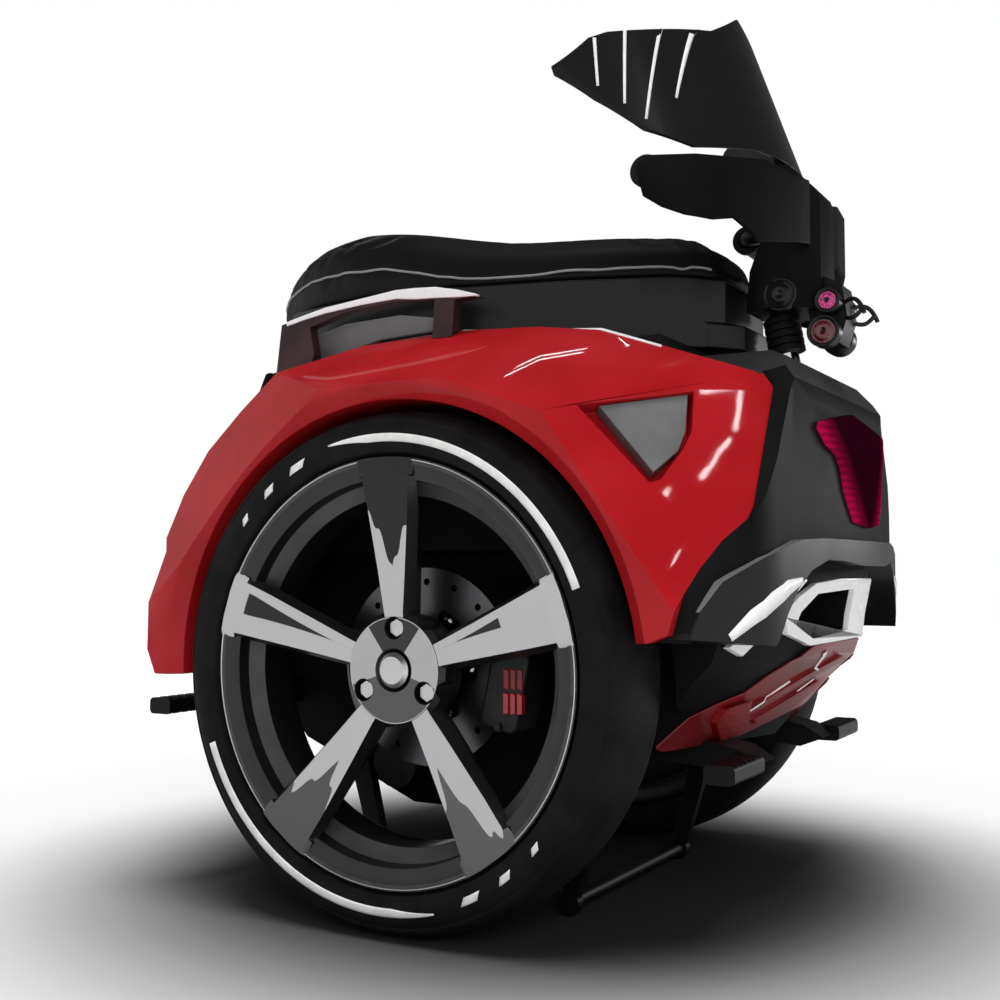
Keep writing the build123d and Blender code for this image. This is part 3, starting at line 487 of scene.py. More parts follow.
# %% [markdown]
# ## Rounding what the CAD leaves sharp
# No moulding or casting has a knife edge: each has a small radius, which is what draws the thin bright
# lines that the eye reads as real. So most rigid parts are shown by a copy of the CAD mesh whose flat faces
# are joined again and whose hard edges get a bevel of a real width. The CAD part itself isn't touched; it
# stays for collision.

# %% A rounded copy of a CAD part
SCREEN_FOOT = 0.87  # the screen and its bracket bow forward above this height


def link_mesh(name, mesh, materials):
    """A new object in the scene with the given mesh and materials."""
    piece = bpy.data.objects.new(name, mesh)
    scene.collection.objects.link(piece)
    for material in materials:
        mesh.materials.append(material)
    return piece


def bevel(piece, width_mm):
    """Rounds a piece's hard edges, and lets its flat faces shade flat."""
    rounding = piece.modifiers.new("edges", "BEVEL")
    rounding.width = width_mm * MM
    rounding.segments = 2
    rounding.limit_method = "ANGLE"
    rounding.angle_limit = radians(32)
    rounding.use_clamp_overlap = True
    shading = piece.modifiers.new("shading", "WEIGHTED_NORMAL")
    shading.keep_sharp = True
    return piece


def rounded_copy(node, materials, width_mm=1.5, choose=None, lean=0.0):
    """Shows a CAD node by a welded, rounded copy; choose finds a face's material by centre and normal."""
    mesh = bpy.data.meshes.new(f"{node}_shell")
    cad = bmesh.new()
    cad.from_mesh(frame["nodes"][node].data)
    bmesh.ops.remove_doubles(cad, verts=cad.verts, dist=0.00002)
    bmesh.ops.dissolve_limit(cad, angle_limit=radians(1), verts=cad.verts, edges=cad.edges)
    bmesh.ops.recalc_face_normals(cad, faces=cad.faces)
    for vertex in cad.verts:
        vertex.co.y -= lean * max(0.0, vertex.co.z - SCREEN_FOOT)
    for face in cad.faces:
        face.smooth = True
        face.material_index = choose(face.calc_center_median(), face.normal) if choose else 0
    cad.to_mesh(mesh)
    cad.free()
    piece = bevel(link_mesh(f"{node}_shell", mesh, materials), width_mm)
    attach(piece, frame["nodes"][node]["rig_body"])
    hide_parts(node)
    return piece


def set_finish(node, material):
    """Gives a CAD part whose shape is right its finish."""
    mesh = frame["nodes"][node].data
    mesh.materials.clear()
    mesh.materials.append(material)


both = ("left", "right")
print("bevelled copies ready")

# %% [markdown]
# ## Bodywork
# Each moulding gets the rounding that its size calls for: about 3 mm on the big panels, more on the bumper
# band and the tower, and 1 mm on the small trim.

# %% Bodywork pieces
shells = [  # node, materials, rounding in mm
    ("chassis_tub", [black_abs], 4.0),
    ("tail_cowl", [black_abs], 3.0),
    ("seat_base", [satin_black], 3.0),
    ("aperture_frame", [silver_paint], 1.0),
    ("diffuser", [dull_red], 2.0),
    ("tower_cowl", [black_abs], 9.0),
    ("lamp_carrier", [coated_steel], 1.0),
    ("stand_front", [coated_steel], 2.0),
    ("stand_rear", [coated_steel], 2.0),
]
for side in both:
    shells += [
        (f"fender_{side}", [red_paint], 3.0),
        (f"bumper_blade_{side}", [silver_paint], 1.5),
        (f"vent_insert_{side}", [grey_abs], 1.0),
        (f"side_panel_{side}", [grey_abs], 1.5),
        (f"brake_caliper_{side}", [cast_black], 1.5),
        (f"drive_unit_{side}", [cast_black], 1.5),
        (f"front_peg_{side}", [coated_steel], 1.0),
        (f"rear_peg_{side}", [coated_steel], 1.0),
        (f"hand_guard_{side}", [black_abs], 1.5),
    ]
for node, materials, width in shells:
    rounded_copy(node, materials, width)


def rail_finish(centre, normal):
    """1 for a grab rail's top faces, painted silver as a highlight from above, 0 for its smoked legs and
    sides.
    """
    return 1 if centre.z > 0.70 and normal.z > 0.5 else 0


def nose_finish(centre, normal):
    """1 for the nose's upper facets, painted grey as light from above, 0 for its black rest."""
    return 1 if centre.z > 0.56 and normal.z > 0.35 else 0


def band_finish(centre, normal):
    """1 for the bumper band's upper facets, painted pale as a highlight, 0 for its black sides."""
    return 1 if normal.z > 0.35 else 0


rounded_copy("nose_cowl", [black_abs, nose_painted_top_light], 3.0, choose=nose_finish)
rounded_copy("bumper_band", [satin_black, band_painted_top_light], 6.0, choose=band_finish)
screen = rounded_copy("windscreen", [smoked], 1.2, lean=0.11)
rounded_copy("screen_bracket", [coated_steel], 1.0, lean=0.11)
for side in both:
    rounded_copy(f"grab_rail_{side}", [maroon, silver_paint], 1.5, choose=rail_finish)
print(len(shells), "bodywork pieces")

# %% Parts whose CAD shape is right
kept = [
    ("front_lamp", lens), ("front_reflectors", prism_red), ("tail_lamp", prism_red),
    ("stand_pivots", dark_steel), ("steering_stem", chrome), ("bellows", soft_rubber),
    ("handlebar", coated_steel),
]
kept += [(f"brake_disc_{side}", ground_steel) for side in both]
kept += [(f"grip_{side}", soft_rubber) for side in both]
for node, material in kept:
    set_finish(node, material)
print(len(kept), "parts keep their CAD shape")

# %% [markdown]
# ## Wheels
# A wheel's faces get their finish by where they lie. On the barrel the outward-facing cone of the drop
# centre is painted grey as a sheen and all the rest is dark; on the spokes only the outer faces carry the
# painted reflections; on the hub the nose and the lug bolts are bright.

# %% Rims, spokes and hubs
WHEEL_X = 0.303  # how far a wheel's middle plane is from the scooter's, in metres


def facing_out(centre, normal):
    """How far a face of a wheel turns outboard, from -1 to 1."""
    return normal.x if centre.x > 0 else -normal.x


def from_axle(centre):
    """A point's distance from the axle's line."""
    return hypot(centre.y, centre.z - AXLE_Z)


def barrel_finish(centre, normal):
    """1 for the barrel's outward-facing cone, painted grey as a sheen, 0 for its dark rest."""
    outboard = abs(centre.x) > WHEEL_X
    cone = from_axle(centre) < 0.207 and facing_out(centre, normal) > 0.4
    return 1 if outboard and cone else 0


def spoke_finish(centre, normal):
    """1 for the spokes' painted-reflection faces, 0 for their dark flanks and the centre's walls."""
    return 1 if facing_out(centre, normal) > 0.8 and abs(centre.x) > WHEEL_X + 0.03 else 0


def hub_finish(centre, normal):
    """1 for the bright nose and lug bolts of a hub, 0 for the dark rest."""
    lug_face = facing_out(centre, normal) > 0.8 and 0.036 < from_axle(centre) < 0.056
    return 1 if abs(centre.x) > WHEEL_X + 0.0355 or lug_face else 0


for side in both:
    rounded_copy(f"rim_{side}", [dark_alloy, cone_painted_sheen], 1.0, choose=barrel_finish)
    rounded_copy(f"spokes_{side}", [dark_alloy, spoke_painted_reflection], 1.2, choose=spoke_finish)
    rounded_copy(f"hub_{side}", [dark_steel, bright_alloy], 0.6, choose=hub_finish)
print("rims, spokes and hubs done")

# %% [markdown]
# A tyre is a body of revolution, so it is turned: one profile is swept round the axle. The profile has the
# real sidewall's small steps, which the plain CAD arc leaves out: the rib that protects the rim, and the
# shoulder ring. The thin bright edge of the rim's lip is turned in the same way.

# %% Tyres
def turned(name, profile, side, materials, body, at=(0, AXLE_Z / MM), steps=160, finish=None):
    """A body turned about a line along X through at (y, z); its profile is (outboard, radius) in mm."""
    out = 1 if side == "left" else -1
    closed = profile[0][1] > 0
    shape = bmesh.new()
    rings = []
    for n in range(steps):
        a = 2 * pi * n / steps
        rings.append([shape.verts.new(Vector((out * x, at[0] + r * cos(a), at[1] + r * sin(a))) * MM)
                      for x, r in profile])
    for n, ring in enumerate(rings):
        following = rings[(n + 1) % steps]
        for k in range(len(profile) if closed else len(profile) - 1):
            j = (k + 1) % len(profile)
            face = shape.faces.new((ring[k], ring[j], following[j], following[k]))
            face.smooth = True
            face.material_index = finish[k] if finish else 0
    bmesh.ops.remove_doubles(shape, verts=shape.verts, dist=0.00001)
    bmesh.ops.recalc_face_normals(shape, faces=shape.faces)
    mesh = bpy.data.meshes.new(name)
    shape.to_mesh(mesh)
    shape.free()
    piece = link_mesh(name, mesh, materials)
    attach(piece, body)
    return piece


half = [  # half the tyre's outline, from tread to bead: (from the middle plane, radius) in mm
    (0, 286), (16, 285.6), (30, 284.2), (40, 282.2), (49, 279), (54, 276.6), (57.2, 273.6), (58.6, 271),
    (58.2, 270.2), (58.2, 269.4), (59.4, 268.6), (61.2, 264), (62.6, 258), (62.9, 252), (61.8, 246),
    (59.8, 242), (59.4, 241), (59.6, 240.2), (58.6, 238.2), (54.5, 236.6), (50, 235.6), (47.4, 233.2),
    (46.6, 228),
]
tyre_profile = [(WHEEL_X / MM + x, r) for x, r in half + [(-x, r) for x, r in reversed(half[1:])]]
lip_line = [(357.4, 231.6), (358.5, 231.4), (358.9, 230.6), (358.5, 229.8), (357.4, 229.6)]
for side in both:
    tyre = turned(f"tyre_{side}_turned", tyre_profile, side, [tyre_rubber], f"wheel_{side}")
    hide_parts(f"tyre_{side}")
    turned(f"lip_line_{side}", lip_line, side, [bright_alloy], f"wheel_{side}")
print("tyre profile points", len(tyre_profile))

# %% [markdown]
# The white marks are thin arcs on the sidewall, two long ones opposite each other and three dashes before
# each. They are laid a quarter of a millimetre proud of the rubber. The lettering between them is left off.

# %% Sidewall marks
STEP_DEGREES = 1.5  # the length of an arc's facets
MARK_ROWS = 4  # facets across an arc


def sidewall_x(r):
    """How far outboard the tyre's sidewall is at a radius, in mm."""
    for (x0, r0), (x1, r1) in zip(half, half[1:]):
        if r1 <= r <= r0:
            return x1 + (x0 - x1) * (r - r1) / max(r0 - r1, 0.01)
    return half[-1][0]


def sidewall_arc(name, side, start, end, r_in, r_out, lean=0.0, taper=0.0):
    """A painted band between two angles, in degrees from the rear; taper is how many narrow its first end."""
    out = 1 if side == "left" else -1
    steps = max(3, int((end - start) / STEP_DEGREES))
    shape = bmesh.new()
    grid = []
    for n in range(steps + 1):
        narrowed = 0.8 * max(0.0, 1 - n * STEP_DEGREES / taper) if taper else 0.0
        low = r_in + (r_out - r_in) * narrowed
        row = []
        for k in range(MARK_ROWS + 1):
            r = low + (r_out - low) * k / MARK_ROWS
            a = radians(start + (end - start) * n / steps + lean * (k / MARK_ROWS - 0.5))
            x = WHEEL_X + (sidewall_x(r) + 0.25) * MM
            row.append(shape.verts.new((out * x, r * MM * cos(a), AXLE_Z + r * MM * sin(a))))
        grid.append(row)
    for n in range(steps):
        for k in range(MARK_ROWS):
            shape.faces.new((grid[n][k], grid[n][k + 1], grid[n + 1][k + 1], grid[n + 1][k])).smooth = True
    bmesh.ops.recalc_face_normals(shape, faces=shape.faces)
    mesh = bpy.data.meshes.new(name)
    shape.to_mesh(mesh)
    shape.free()
    mark = link_mesh(name, mesh, [wall_paint])
    thick = mark.modifiers.new("thickness", "SOLIDIFY")
    thick.thickness = 0.0004
    thick.offset = 0
    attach(mark, f"wheel_{side}")


marks = [  # start and end angle, inner and outer radius, lean, taper of the first end
    (74, 159, 248.5, 257.5, 0, 12),
    (60.6, 65.4, 249, 257, 1.6, 0),
    (50.4, 53.8, 249, 256.5, 1.4, 0),
    (40.2, 42.6, 249.5, 256, 1.2, 0),
]
for side in both:
    for half_turn in (0, 180):
        for n, (start, end, r_in, r_out, lean, taper) in enumerate(marks):
            name = f"mark_{side}_{half_turn}_{n}"
            sidewall_arc(name, side, start + half_turn, end + half_turn, r_in, r_out, lean, taper)
print("sidewall marks", 4 * len(marks))

# %% [markdown]
# ## The seat
# The cushion is foam under leathercloth, low for the rider and raised behind for a passenger. It is first
# drawn as rows of points round its cross-sections, then swollen with Blender's cloth under a little inner
# pressure, as foam fills a cover. The bottom row is held, because there it sits on its hard base.

# %% Cushion form
seat_rows = [  # distance from the axle to the back, half-width, top height and seam height, in mm
    (-283, 64, 778, 750),
    (-262, 84, 790, 754),
    (-235, 106, 798, 756),
    (-160, 138, 804, 757),
    (-70, 168, 808, 755),
    (10, 186, 816, 753),
    (70, 190, 829, 766),
    (125, 190, 841, 778),
    (190, 188, 850, 780),
    (240, 176, 852, 778),
    (290, 152, 846, 774),
    (330, 124, 834, 769),
    (355, 100, 816, 764),
    (370, 78, 796, 758),
]
SEAT_FLOOR = 739.2  # the height of the cushion's underside, in mm


def seat_section(half_width, top, seam):
    """Half a cross-section, from the middle of the top to the middle of the bottom."""
    rise = top - seam
    side = [(0, top), (0.34, top - 0.03 * rise), (0.62, top - 0.12 * rise), (0.82, top - 0.3 * rise),
            (0.95, top - 0.6 * rise), (1.0, seam)]
    points = [(half_width * x, z) for x, z in side]
    points += [(half_width + 1, (seam + SEAT_FLOOR) / 2), (half_width - 5, SEAT_FLOOR + 2),
               (half_width - 14, SEAT_FLOOR), (half_width * 0.4, SEAT_FLOOR), (0, SEAT_FLOOR)]
    return points


def loft(name, rows, materials, smooth=True):
    """A closed skin through rows of points of equal count, with both ends filled."""
    shape = bmesh.new()
    rings = [[shape.verts.new(Vector(p) * MM) for p in row] for row in rows]
    for first, second in zip(rings, rings[1:]):
        for k in range(len(first)):
            j = (k + 1) % len(first)
            shape.faces.new((first[k], first[j], second[j], second[k]))
    shape.faces.new(rings[0])
    shape.faces.new(rings[-1])
    bmesh.ops.recalc_face_normals(shape, faces=shape.faces)
    for face in shape.faces:
        face.smooth = smooth
    mesh = bpy.data.meshes.new(name)
    shape.to_mesh(mesh)
    shape.free()
    return link_mesh(name, mesh, materials)


rows = []
for y, half_width, top, seam in seat_rows:
    right = seat_section(half_width, top, seam)
    rows.append([(x, y, z) for x, z in right] + [(-x, y, z) for x, z in reversed(right[1:-1])])
cushion = loft("cushion", rows, [leather])
print("cushion rows", len(rows))


# %% Cloth swelling
def apply_modifiers(piece):
    """Replaces a piece's mesh by what its modifiers make of it."""
    bpy.context.view_layer.update()
    result = bpy.data.meshes.new_from_object(piece.evaluated_get(bpy.context.evaluated_depsgraph_get()))
    piece.modifiers.clear()
    piece.data = result


def swell(piece, pressure, cap, floor):
    """Puffs a closed piece up with cloth; no point moves further than cap, and those at the floor stay."""
    start = [v.co.copy() for v in piece.data.vertices]
    held = piece.vertex_groups.new(name="held")
    held.add([v.index for v in piece.data.vertices if v.co.z < floor + 0.006], 1.0, "REPLACE")
    cloth = piece.modifiers.new("cloth", "CLOTH")
    cloth.settings.use_pressure = True
    cloth.settings.uniform_pressure_force = pressure
    cloth.settings.vertex_group_mass = "held"
    cloth.settings.effector_weights.gravity = 0
    cloth.settings.quality = 6
    cloth.point_cache.frame_start = 1
    cloth.point_cache.frame_end = 20
    for frame_number in range(1, 21):
        scene.frame_set(frame_number)
    apply_modifiers(piece)
    for vertex, old in zip(piece.data.vertices, start):
        move = vertex.co - old
        if move.length > cap:
            vertex.co = old + move * (cap / move.length)
    scene.frame_set(1)
    piece.vertex_groups.clear()


curve_skin = cushion.modifiers.new("skin", "SUBSURF")
curve_skin.levels = 3
apply_modifiers(cushion)
remesh = cushion.modifiers.new("even", "REMESH")
remesh.mode = "VOXEL"
remesh.voxel_size = 0.006
apply_modifiers(cushion)
swell(cushion, 4.0, 0.006, SEAT_FLOOR * MM)
for polygon in cushion.data.polygons:
    polygon.use_smooth = True
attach(cushion, "chassis")
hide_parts("seat_cushion")
highest = max(v.co.z for v in cushion.data.vertices)
print("cushion faces", len(cushion.data.polygons), "top", round(highest, 4))

# %% [markdown]
# The seam between the top panel and the side panel is covered by a thin vinyl piping. Its line is dropped
# onto the cushion's surface after the swelling, so that it lies on the leathercloth all the way round.

# %% Piping
def search_tree(parts):
    """One tree over the surfaces of pieces or named CAD parts, to find places on them."""
    points, faces = [], []
    for part in parts:
        mesh = (frame["nodes"][part] if isinstance(part, str) else part).data
        faces += [[i + len(points) for i in p.vertices] for p in mesh.polygons]
        points += [v.co.copy() for v in mesh.vertices]
    return BVHTree.FromPolygons(points, faces)


def tube_along(name, points, radius_mm, material, closed=False, resolution=3):
    """A round tube along a smooth curve through the given points, in metres."""
    curve = bpy.data.curves.new(name, "CURVE")
    curve.dimensions = "3D"
    curve.bevel_depth = radius_mm * MM
    curve.bevel_resolution = resolution
    curve.use_fill_caps = True
    line = curve.splines.new("NURBS")
    line.points.add(len(points) - 1)
    for target, point in zip(line.points, points):
        target.co = (*point, 1)
    line.order_u = 3
    line.use_endpoint_u = not closed
    line.use_cyclic_u = closed
    line.resolution_u = 4
    curve.materials.append(material)
    piece = bpy.data.objects.new(name, curve)
    scene.collection.objects.link(piece)
    return piece


skin = search_tree([cushion])
for side, out in (("left", 1), ("right", -1)):
    line = []
    for (y0, w0, _, s0), (y1, w1, _, s1) in zip(seat_rows, seat_rows[1:]):
        for t in (0, 0.25, 0.5, 0.75):
            target = Vector((out * (w0 + (w1 - w0) * t + 6), y0 + (y1 - y0) * t, s0 + (s1 - s0) * t + 3)) * MM
            spot, normal, _, _ = skin.find_nearest(target)
            line.append(spot + normal * 0.0008)
    piping = tube_along(f"piping_{side}", line[1:], 1.6, piping_cord)
    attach(piping, "chassis")
print("piping points", len(line))

# %% [markdown]
# ## Trim and painted reflections laid on the bodywork
# The silver lines are thin strips laid on the panels: on either side of the scooter four on the screen and
# three on the keel, which are painted reflections of strip lights, and one under the shoulder, a silver
# moulding. Each is drawn as a short list of points in a side or front view. A ray is cast from that side at
# every step, so the strip lies on the surface wherever that is.

# %% Strips that follow a surface
STRIP_MM = 0.8  # the thickness of a laid strip
STRIP_STEPS = 8  # facets between two of its points


def places_under(surface, view, points):
    """Where a line drawn in a view falls on a surface: places with their normals and half-widths."""
    hits = []
    for first, second in zip(points, points[1:]):
        for n in range(STRIP_STEPS + (second is points[-1])):
            a, z, width = [p + (q - p) * n / STRIP_STEPS for p, q in zip(first, second)]
            if view == "side":
                spot, normal, _, _ = surface.ray_cast(Vector((-0.7, a * MM, z * MM)), Vector((1, 0, 0)))
            else:
                spot, normal, _, _ = surface.ray_cast(Vector((a * MM, -0.8, z * MM)), Vector((0, 1, 0)))
            if spot:
                hits.append((spot, normal, width * MM / 2))
    return hits


def laid_strip(name, body, hits, material):
    """A strip of real thickness over the places that were found, and its mirror image on the other side."""
    for side, out in (("right", 1), ("left", -1)):
        shape = bmesh.new()
        rows = []
        last = len(hits) - 1
        for n, (spot, normal, half_width) in enumerate(hits):
            ahead = hits[min(n + 1, last)][0] - hits[max(n - 1, 0)][0]
            sideways = normal.cross(ahead).normalized()
            row = []
            for t in (-1, 0, 1):
                rise = STRIP_MM * MM * (1.2 if t == 0 else 0.6)
                p = spot + sideways * half_width * t + normal * rise
                row.append(shape.verts.new((out * p.x, p.y, p.z)))
            rows.append(row)
        for first, second in zip(rows, rows[1:]):
            for k in (0, 1):
                shape.faces.new((first[k], first[k + 1], second[k + 1], second[k])).smooth = True
        bmesh.ops.recalc_face_normals(shape, faces=shape.faces)
        mesh = bpy.data.meshes.new(f"{name}_{side}")
        shape.to_mesh(mesh)
        shape.free()
        strip = link_mesh(f"{name}_{side}", mesh, [material])
        thickness = strip.modifiers.new("thickness", "SOLIDIFY")
        thickness.thickness = STRIP_MM * MM
        thickness.offset = 0
        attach(strip, body)


# %% The silver lines: painted reflections and trim
trim_and_reflection_lines = [  # name, body, what it lies on, view, points, material
    # painted reflections: the four screen lines and the three keel lines stand for reflected strip lights
    ("screen_reflection_0", "steering", [screen], "side", [(-190, 1002, 4), (-199, 934, 3)], silver_paint),
    ("screen_reflection_1", "steering", [screen], "side", [(-218, 1005, 4), (-226, 913, 3)], silver_paint),
    ("screen_reflection_2", "steering", [screen], "side", [(-247, 1015, 4.5), (-247, 895, 3)], silver_paint),
    ("screen_reflection_3", "steering", [screen], "side", [(-271, 1027, 7), (-270, 925, 3)], silver_paint),
    ("shoulder_blade", "chassis", ["bumper_band", "nose_cowl"], "front",
     [(-316, 330, 8), (-290, 350, 15), (-262, 366, 17), (-236, 378, 15), (-205, 385, 6)], silver_paint),
    ("keel_reflection_0", "chassis", ["diffuser"], "front", [(-122, 236, 3), (-79, 270, 5)], silver_paint),
    ("keel_reflection_1", "chassis", ["diffuser"], "front", [(-44, 256, 2.5), (-31, 270, 3)], silver_paint),
    ("keel_reflection_2", "chassis", ["diffuser"], "front", [(-64, 303, 8), (-50, 282, 3)], silver_paint),
]
for name, body, parts, view, points, material in trim_and_reflection_lines:
    hits = places_under(search_tree(parts), view, points)
    laid_strip(name, body, hits, material)
    print(name, "lies on", len(hits), "places")

# %% [markdown]
# The rail's upper edge is a silver blade of its own, thickest over the front leg, a painted highlight where
# light falls from above. The fender's inboard top edge has a silver strip, a painted highlight along that
# edge, which swells into a silver crescent below the grey panel.

# %% Rail top highlights
# painted highlight: a silver blade along the rail's top edge, where light falls from above
rail_top_highlight = [  # along the scooter, top and bottom height in mm
    (236, 710.5, 705), (205, 717, 711), (174, 722.8, 715.5), (120, 728, 720), (68, 733, 722),
    (40, 732.3, 718.5), (11, 730.3, 717), (-20, 723.5, 714.5), (-46, 715.5, 713.5),
]
for side, out in (("left", 1), ("right", -1)):
    near, far = out * 232, out * 240
    rows = [[(near, y, top), (far, y, top), (far, y, low), (near, y, low)] for y, top, low in rail_top_highlight]
    blade = bevel(loft(f"rail_top_highlight_{side}", rows, [silver_paint]), 1.0)
    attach(blade, "chassis")
print("rail blade rows", len(rail_top_highlight))

# %% Fender edge highlights and crescents
fender_top = search_tree(["fender_right"])
HIGHLIGHT_REAR, CRESCENT_FRONT = 205, 5  # where it starts and its crescent ends, in mm behind the axle
# painted highlight along the fender's top edge, which swells into a silver crescent
highlight_and_crescent = []
for y in range(HIGHLIGHT_REAR, -275, -18):
    spot, _, _, _ = fender_top.ray_cast(Vector((-0.2085, y * MM, 1.2)), Vector((0, 0, -1)))
    if spot:
        along = (HIGHLIGHT_REAR - y) / (HIGHLIGHT_REAR - CRESCENT_FRONT)
        swelling = max(0.0, sin(pi * along)) if y > CRESCENT_FRONT else 0.0
        highlight_and_crescent.append((y, spot.z / MM, 2.2 + 3.6 * swelling))
round_section = [(cos(pi * k / 4), sin(pi * k / 4)) for k in range(8)]
for side, out in (("left", 1), ("right", -1)):
    rows = [[(out * (208 + r * u), y, z + r * v) for u, v in round_section] for y, z, r in highlight_and_crescent]
    strip = loft(f"fender_highlight_and_crescent_{side}", rows, [silver_paint])
    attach(strip, "chassis")
print("moulding points", len(highlight_and_crescent))

# %% [markdown]
# ## Lamps, levers, brake and bolts
# The cluster under the tower holds a lit magenta lamp over a red one, each in a black ribbed bezel, and two
# small levers in front. Behind the wheel's spokes the caliper has a red enamelled block cut by grooves.

# %% Lamps of the cluster
cluster = [("upper", -399, 708, 15, magenta_lamp), ("lower", -394, 672, 19, deep_red_lamp)]
for side in both:
    for name, y, z, r, glass in cluster:
        bezel = [(22, 0), (22, r - 2), (25, r), (28, r - 1.5), (31, r), (34, r - 1.5), (37, r), (41, r),
                 (42, r - 2), (40, r - 4), (38, r - 5), (40.5, r - 8), (41.5, r - 12), (41.5, 3),
                 (39.5, 2), (39.5, 0)]
        finish = [0] * 10 + [1] * 3 + [0] * 2
        materials = [satin_black, glass]
        lamp = turned(f"lamp_{name}_{side}", bezel, side, materials, "steering", (y, z), 40, finish)
        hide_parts("side_lamps")
    knob = [(56, 0), (56, 20), (60, 20), (61.5, 19), (61.5, 17), (59.5, 16), (59.5, 11), (62.5, 10),
            (63, 8), (63, 4), (61, 3), (61, 0)]
    turned(f"tower_cap_0_{side}", knob, side, [satin_black], "steering", (-350, 716), 40)
print("lamps of the cluster", 2 * len(cluster))

# %% Small levers
levers = [  # points (outboard, along, height) in mm
    [(18, -412, 706), (26, -424, 712), (30, -436, 702), (32, -440, 690)],
    [(18, -412, 690), (24, -422, 686), (27, -432, 690), (28, -438, 698)],
]
for side, out in (("left", 1), ("right", -1)):
    for n, line in enumerate(levers):
        points = [Vector((out * x, y, z)) * MM for x, y, z in line]
        lever = tube_along(f"lever_{n}_{side}", points, 2.6, satin_black)
        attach(lever, "steering")
print("levers", 2 * len(levers))

# %% Brake blocks and bolts
def slab(name, outline, x_range, side, material, body):
    """A plate across X with an outline given as (y, z) in mm, with rounded edges."""
    out = 1 if side == "left" else -1
    rows = [[(out * x, y, z) for y, z in outline] for x in x_range]
    piece = bevel(loft(name, rows, [material], smooth=False), 1.0)
    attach(piece, body)


def hex_heads(name, places, across_mm, material, body):
    """Bolt heads with six flats on round washers, in one mesh; places are (x, y, z, outboard height)."""
    shape = bmesh.new()
    for x, y, z, tall in places:
        for sides, width, top_share, lifted, height in ((24, 0.62, 1.0, 0.1, 0.2), (6, 0.5, 0.92, 0.5, 1.0)):
            seat = Matrix.Translation(Vector((x + tall * lifted, y, z)) * MM)
            foot = across_mm * width * MM
            bmesh.ops.create_cone(shape, cap_ends=True, segments=sides, radius1=foot,
                                  radius2=foot * top_share, depth=abs(tall) * MM * height,
                                  matrix=seat @ Matrix.Rotation(pi / 2, 4, "Y"))
    mesh = bpy.data.meshes.new(name)
    shape.to_mesh(mesh)
    shape.free()
    piece = bevel(link_mesh(name, mesh, [material]), 0.3)
    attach(piece, body)


for side, out in (("left", 1), ("right", -1)):
    for n in range(3):
        y = -112 - 8.5 * n
        block = [(y, 240), (y - 6.5, 241), (y - 6.5, 262), (y, 264)]
        slab(f"caliper_block_{n}_{side}", block, (286, 294.5), side, red_enamel, "chassis")
        rib = [(y, 268), (y - 6.5, 266), (y - 6.5, 288), (y, 290)]
        slab(f"caliper_rib_{n}_{side}", rib, (286, 293.5), side, dull_red, "chassis")
    bolts = [(out * 292, -98, 300, out * 5), (out * 292, -106, 226, out * 5)]
    hex_heads(f"caliper_bolts_{side}", bolts, 9, dark_steel, "chassis")
    carrier = [(out * 273, 58 * cos(a), 286 + 58 * sin(a), out * 4) for a in (pi / 3 * k for k in range(6))]
    hex_heads(f"disc_bolts_{side}", carrier, 9, chrome, f"wheel_{side}")
print("brake details done, bolts a side", len(bolts) + len(carrier))

# %% [markdown]
# ## Studio
# The backdrop is the world, white to the camera through the Light Path node. Gloss sees a world that is
# bright on the near side and low down and dark above, as a studio's black ceiling makes it, and all other
# light is a dim even one. The floor is paper with a painted shadow, a grey pool under the scooter, for the
# deep soft shadow that the photograph has, and it brightens to pure white far out, for the camera alone, so
# that no horizon shows.

# %% Floor
floor_mesh = bpy.data.meshes.new("floor")
floor_mesh.from_pydata([(-9, -9, 0), (9, -9, 0), (9, 9, 0), (-9, 9, 0)], [], [(0, 1, 2, 3)])  # 18 m square
floor_paper, tree, shader = make_material("white studio paper with painted shadow", "#F6F6F6", 0.9, Specular_IOR_Level=0.0)
seen = add(tree, "LightPath").outputs["Is Camera Ray"]
spot = add(tree, "TexCoord").outputs["Object"]
away = add(tree, "VectorMath", {0: spot}, operation="LENGTH").outputs["Value"]
far = add(tree, "MapRange", {"Value": away, "From Min": 0.6, "From Max": 2.4, "To Max": 0.25})
lift = add(tree, "Math", {0: seen, 1: far.outputs["Result"]}, operation="MULTIPLY").outputs[0]
# painted shadow: the paper's colour is grey close to the scooter and white further out
painted_shadow_range = {"Value": away, "From Min": 0.32, "From Max": 0.86, "To Min": 0.06, "To Max": 0.95}
grey = add(tree, "MapRange", painted_shadow_range, interpolation_type="SMOOTHSTEP").outputs["Result"]
tree.links.new(grey, shader.inputs["Base Color"])
shader.inputs["Emission Color"].default_value = srgb("#FFFFFF")
tree.links.new(lift, shader.inputs["Emission Strength"])
floor = link_mesh("floor", floor_mesh, [floor_paper])
print("floor", tuple(floor.dimensions))

# %% World
world = bpy.data.worlds.new("studio")
scene.world = world
world.use_nodes = True
tree = world.node_tree
path = add(tree, "LightPath")
heading = add(tree, "SeparateXYZ", {"Vector": add(tree, "TexCoord").outputs["Generated"]})
low_down = add(tree, "MapRange", {"Value": heading.outputs["Z"], "From Min": 0.35, "From Max": 0.7,
                                  "To Min": 0.9, "To Max": 0.1}).outputs["Result"]
near_side = add(tree, "MapRange", {"Value": heading.outputs["X"], "From Min": -0.1, "From Max": 0.5,
                                   "To Min": 1.0, "To Max": 0.16}).outputs["Result"]
sky = add(tree, "Math", {0: low_down, 1: near_side}, operation="MULTIPLY").outputs[0]
mirrored_rays = add(tree, "Math", {0: path.outputs["Is Glossy Ray"], 1: path.outputs["Is Transmission Ray"]},
                    operation="MAXIMUM").outputs[0]
unseen = add(tree, "MapRange", {"Value": mirrored_rays, "To Min": 0.22, "To Max": sky}).outputs["Result"]
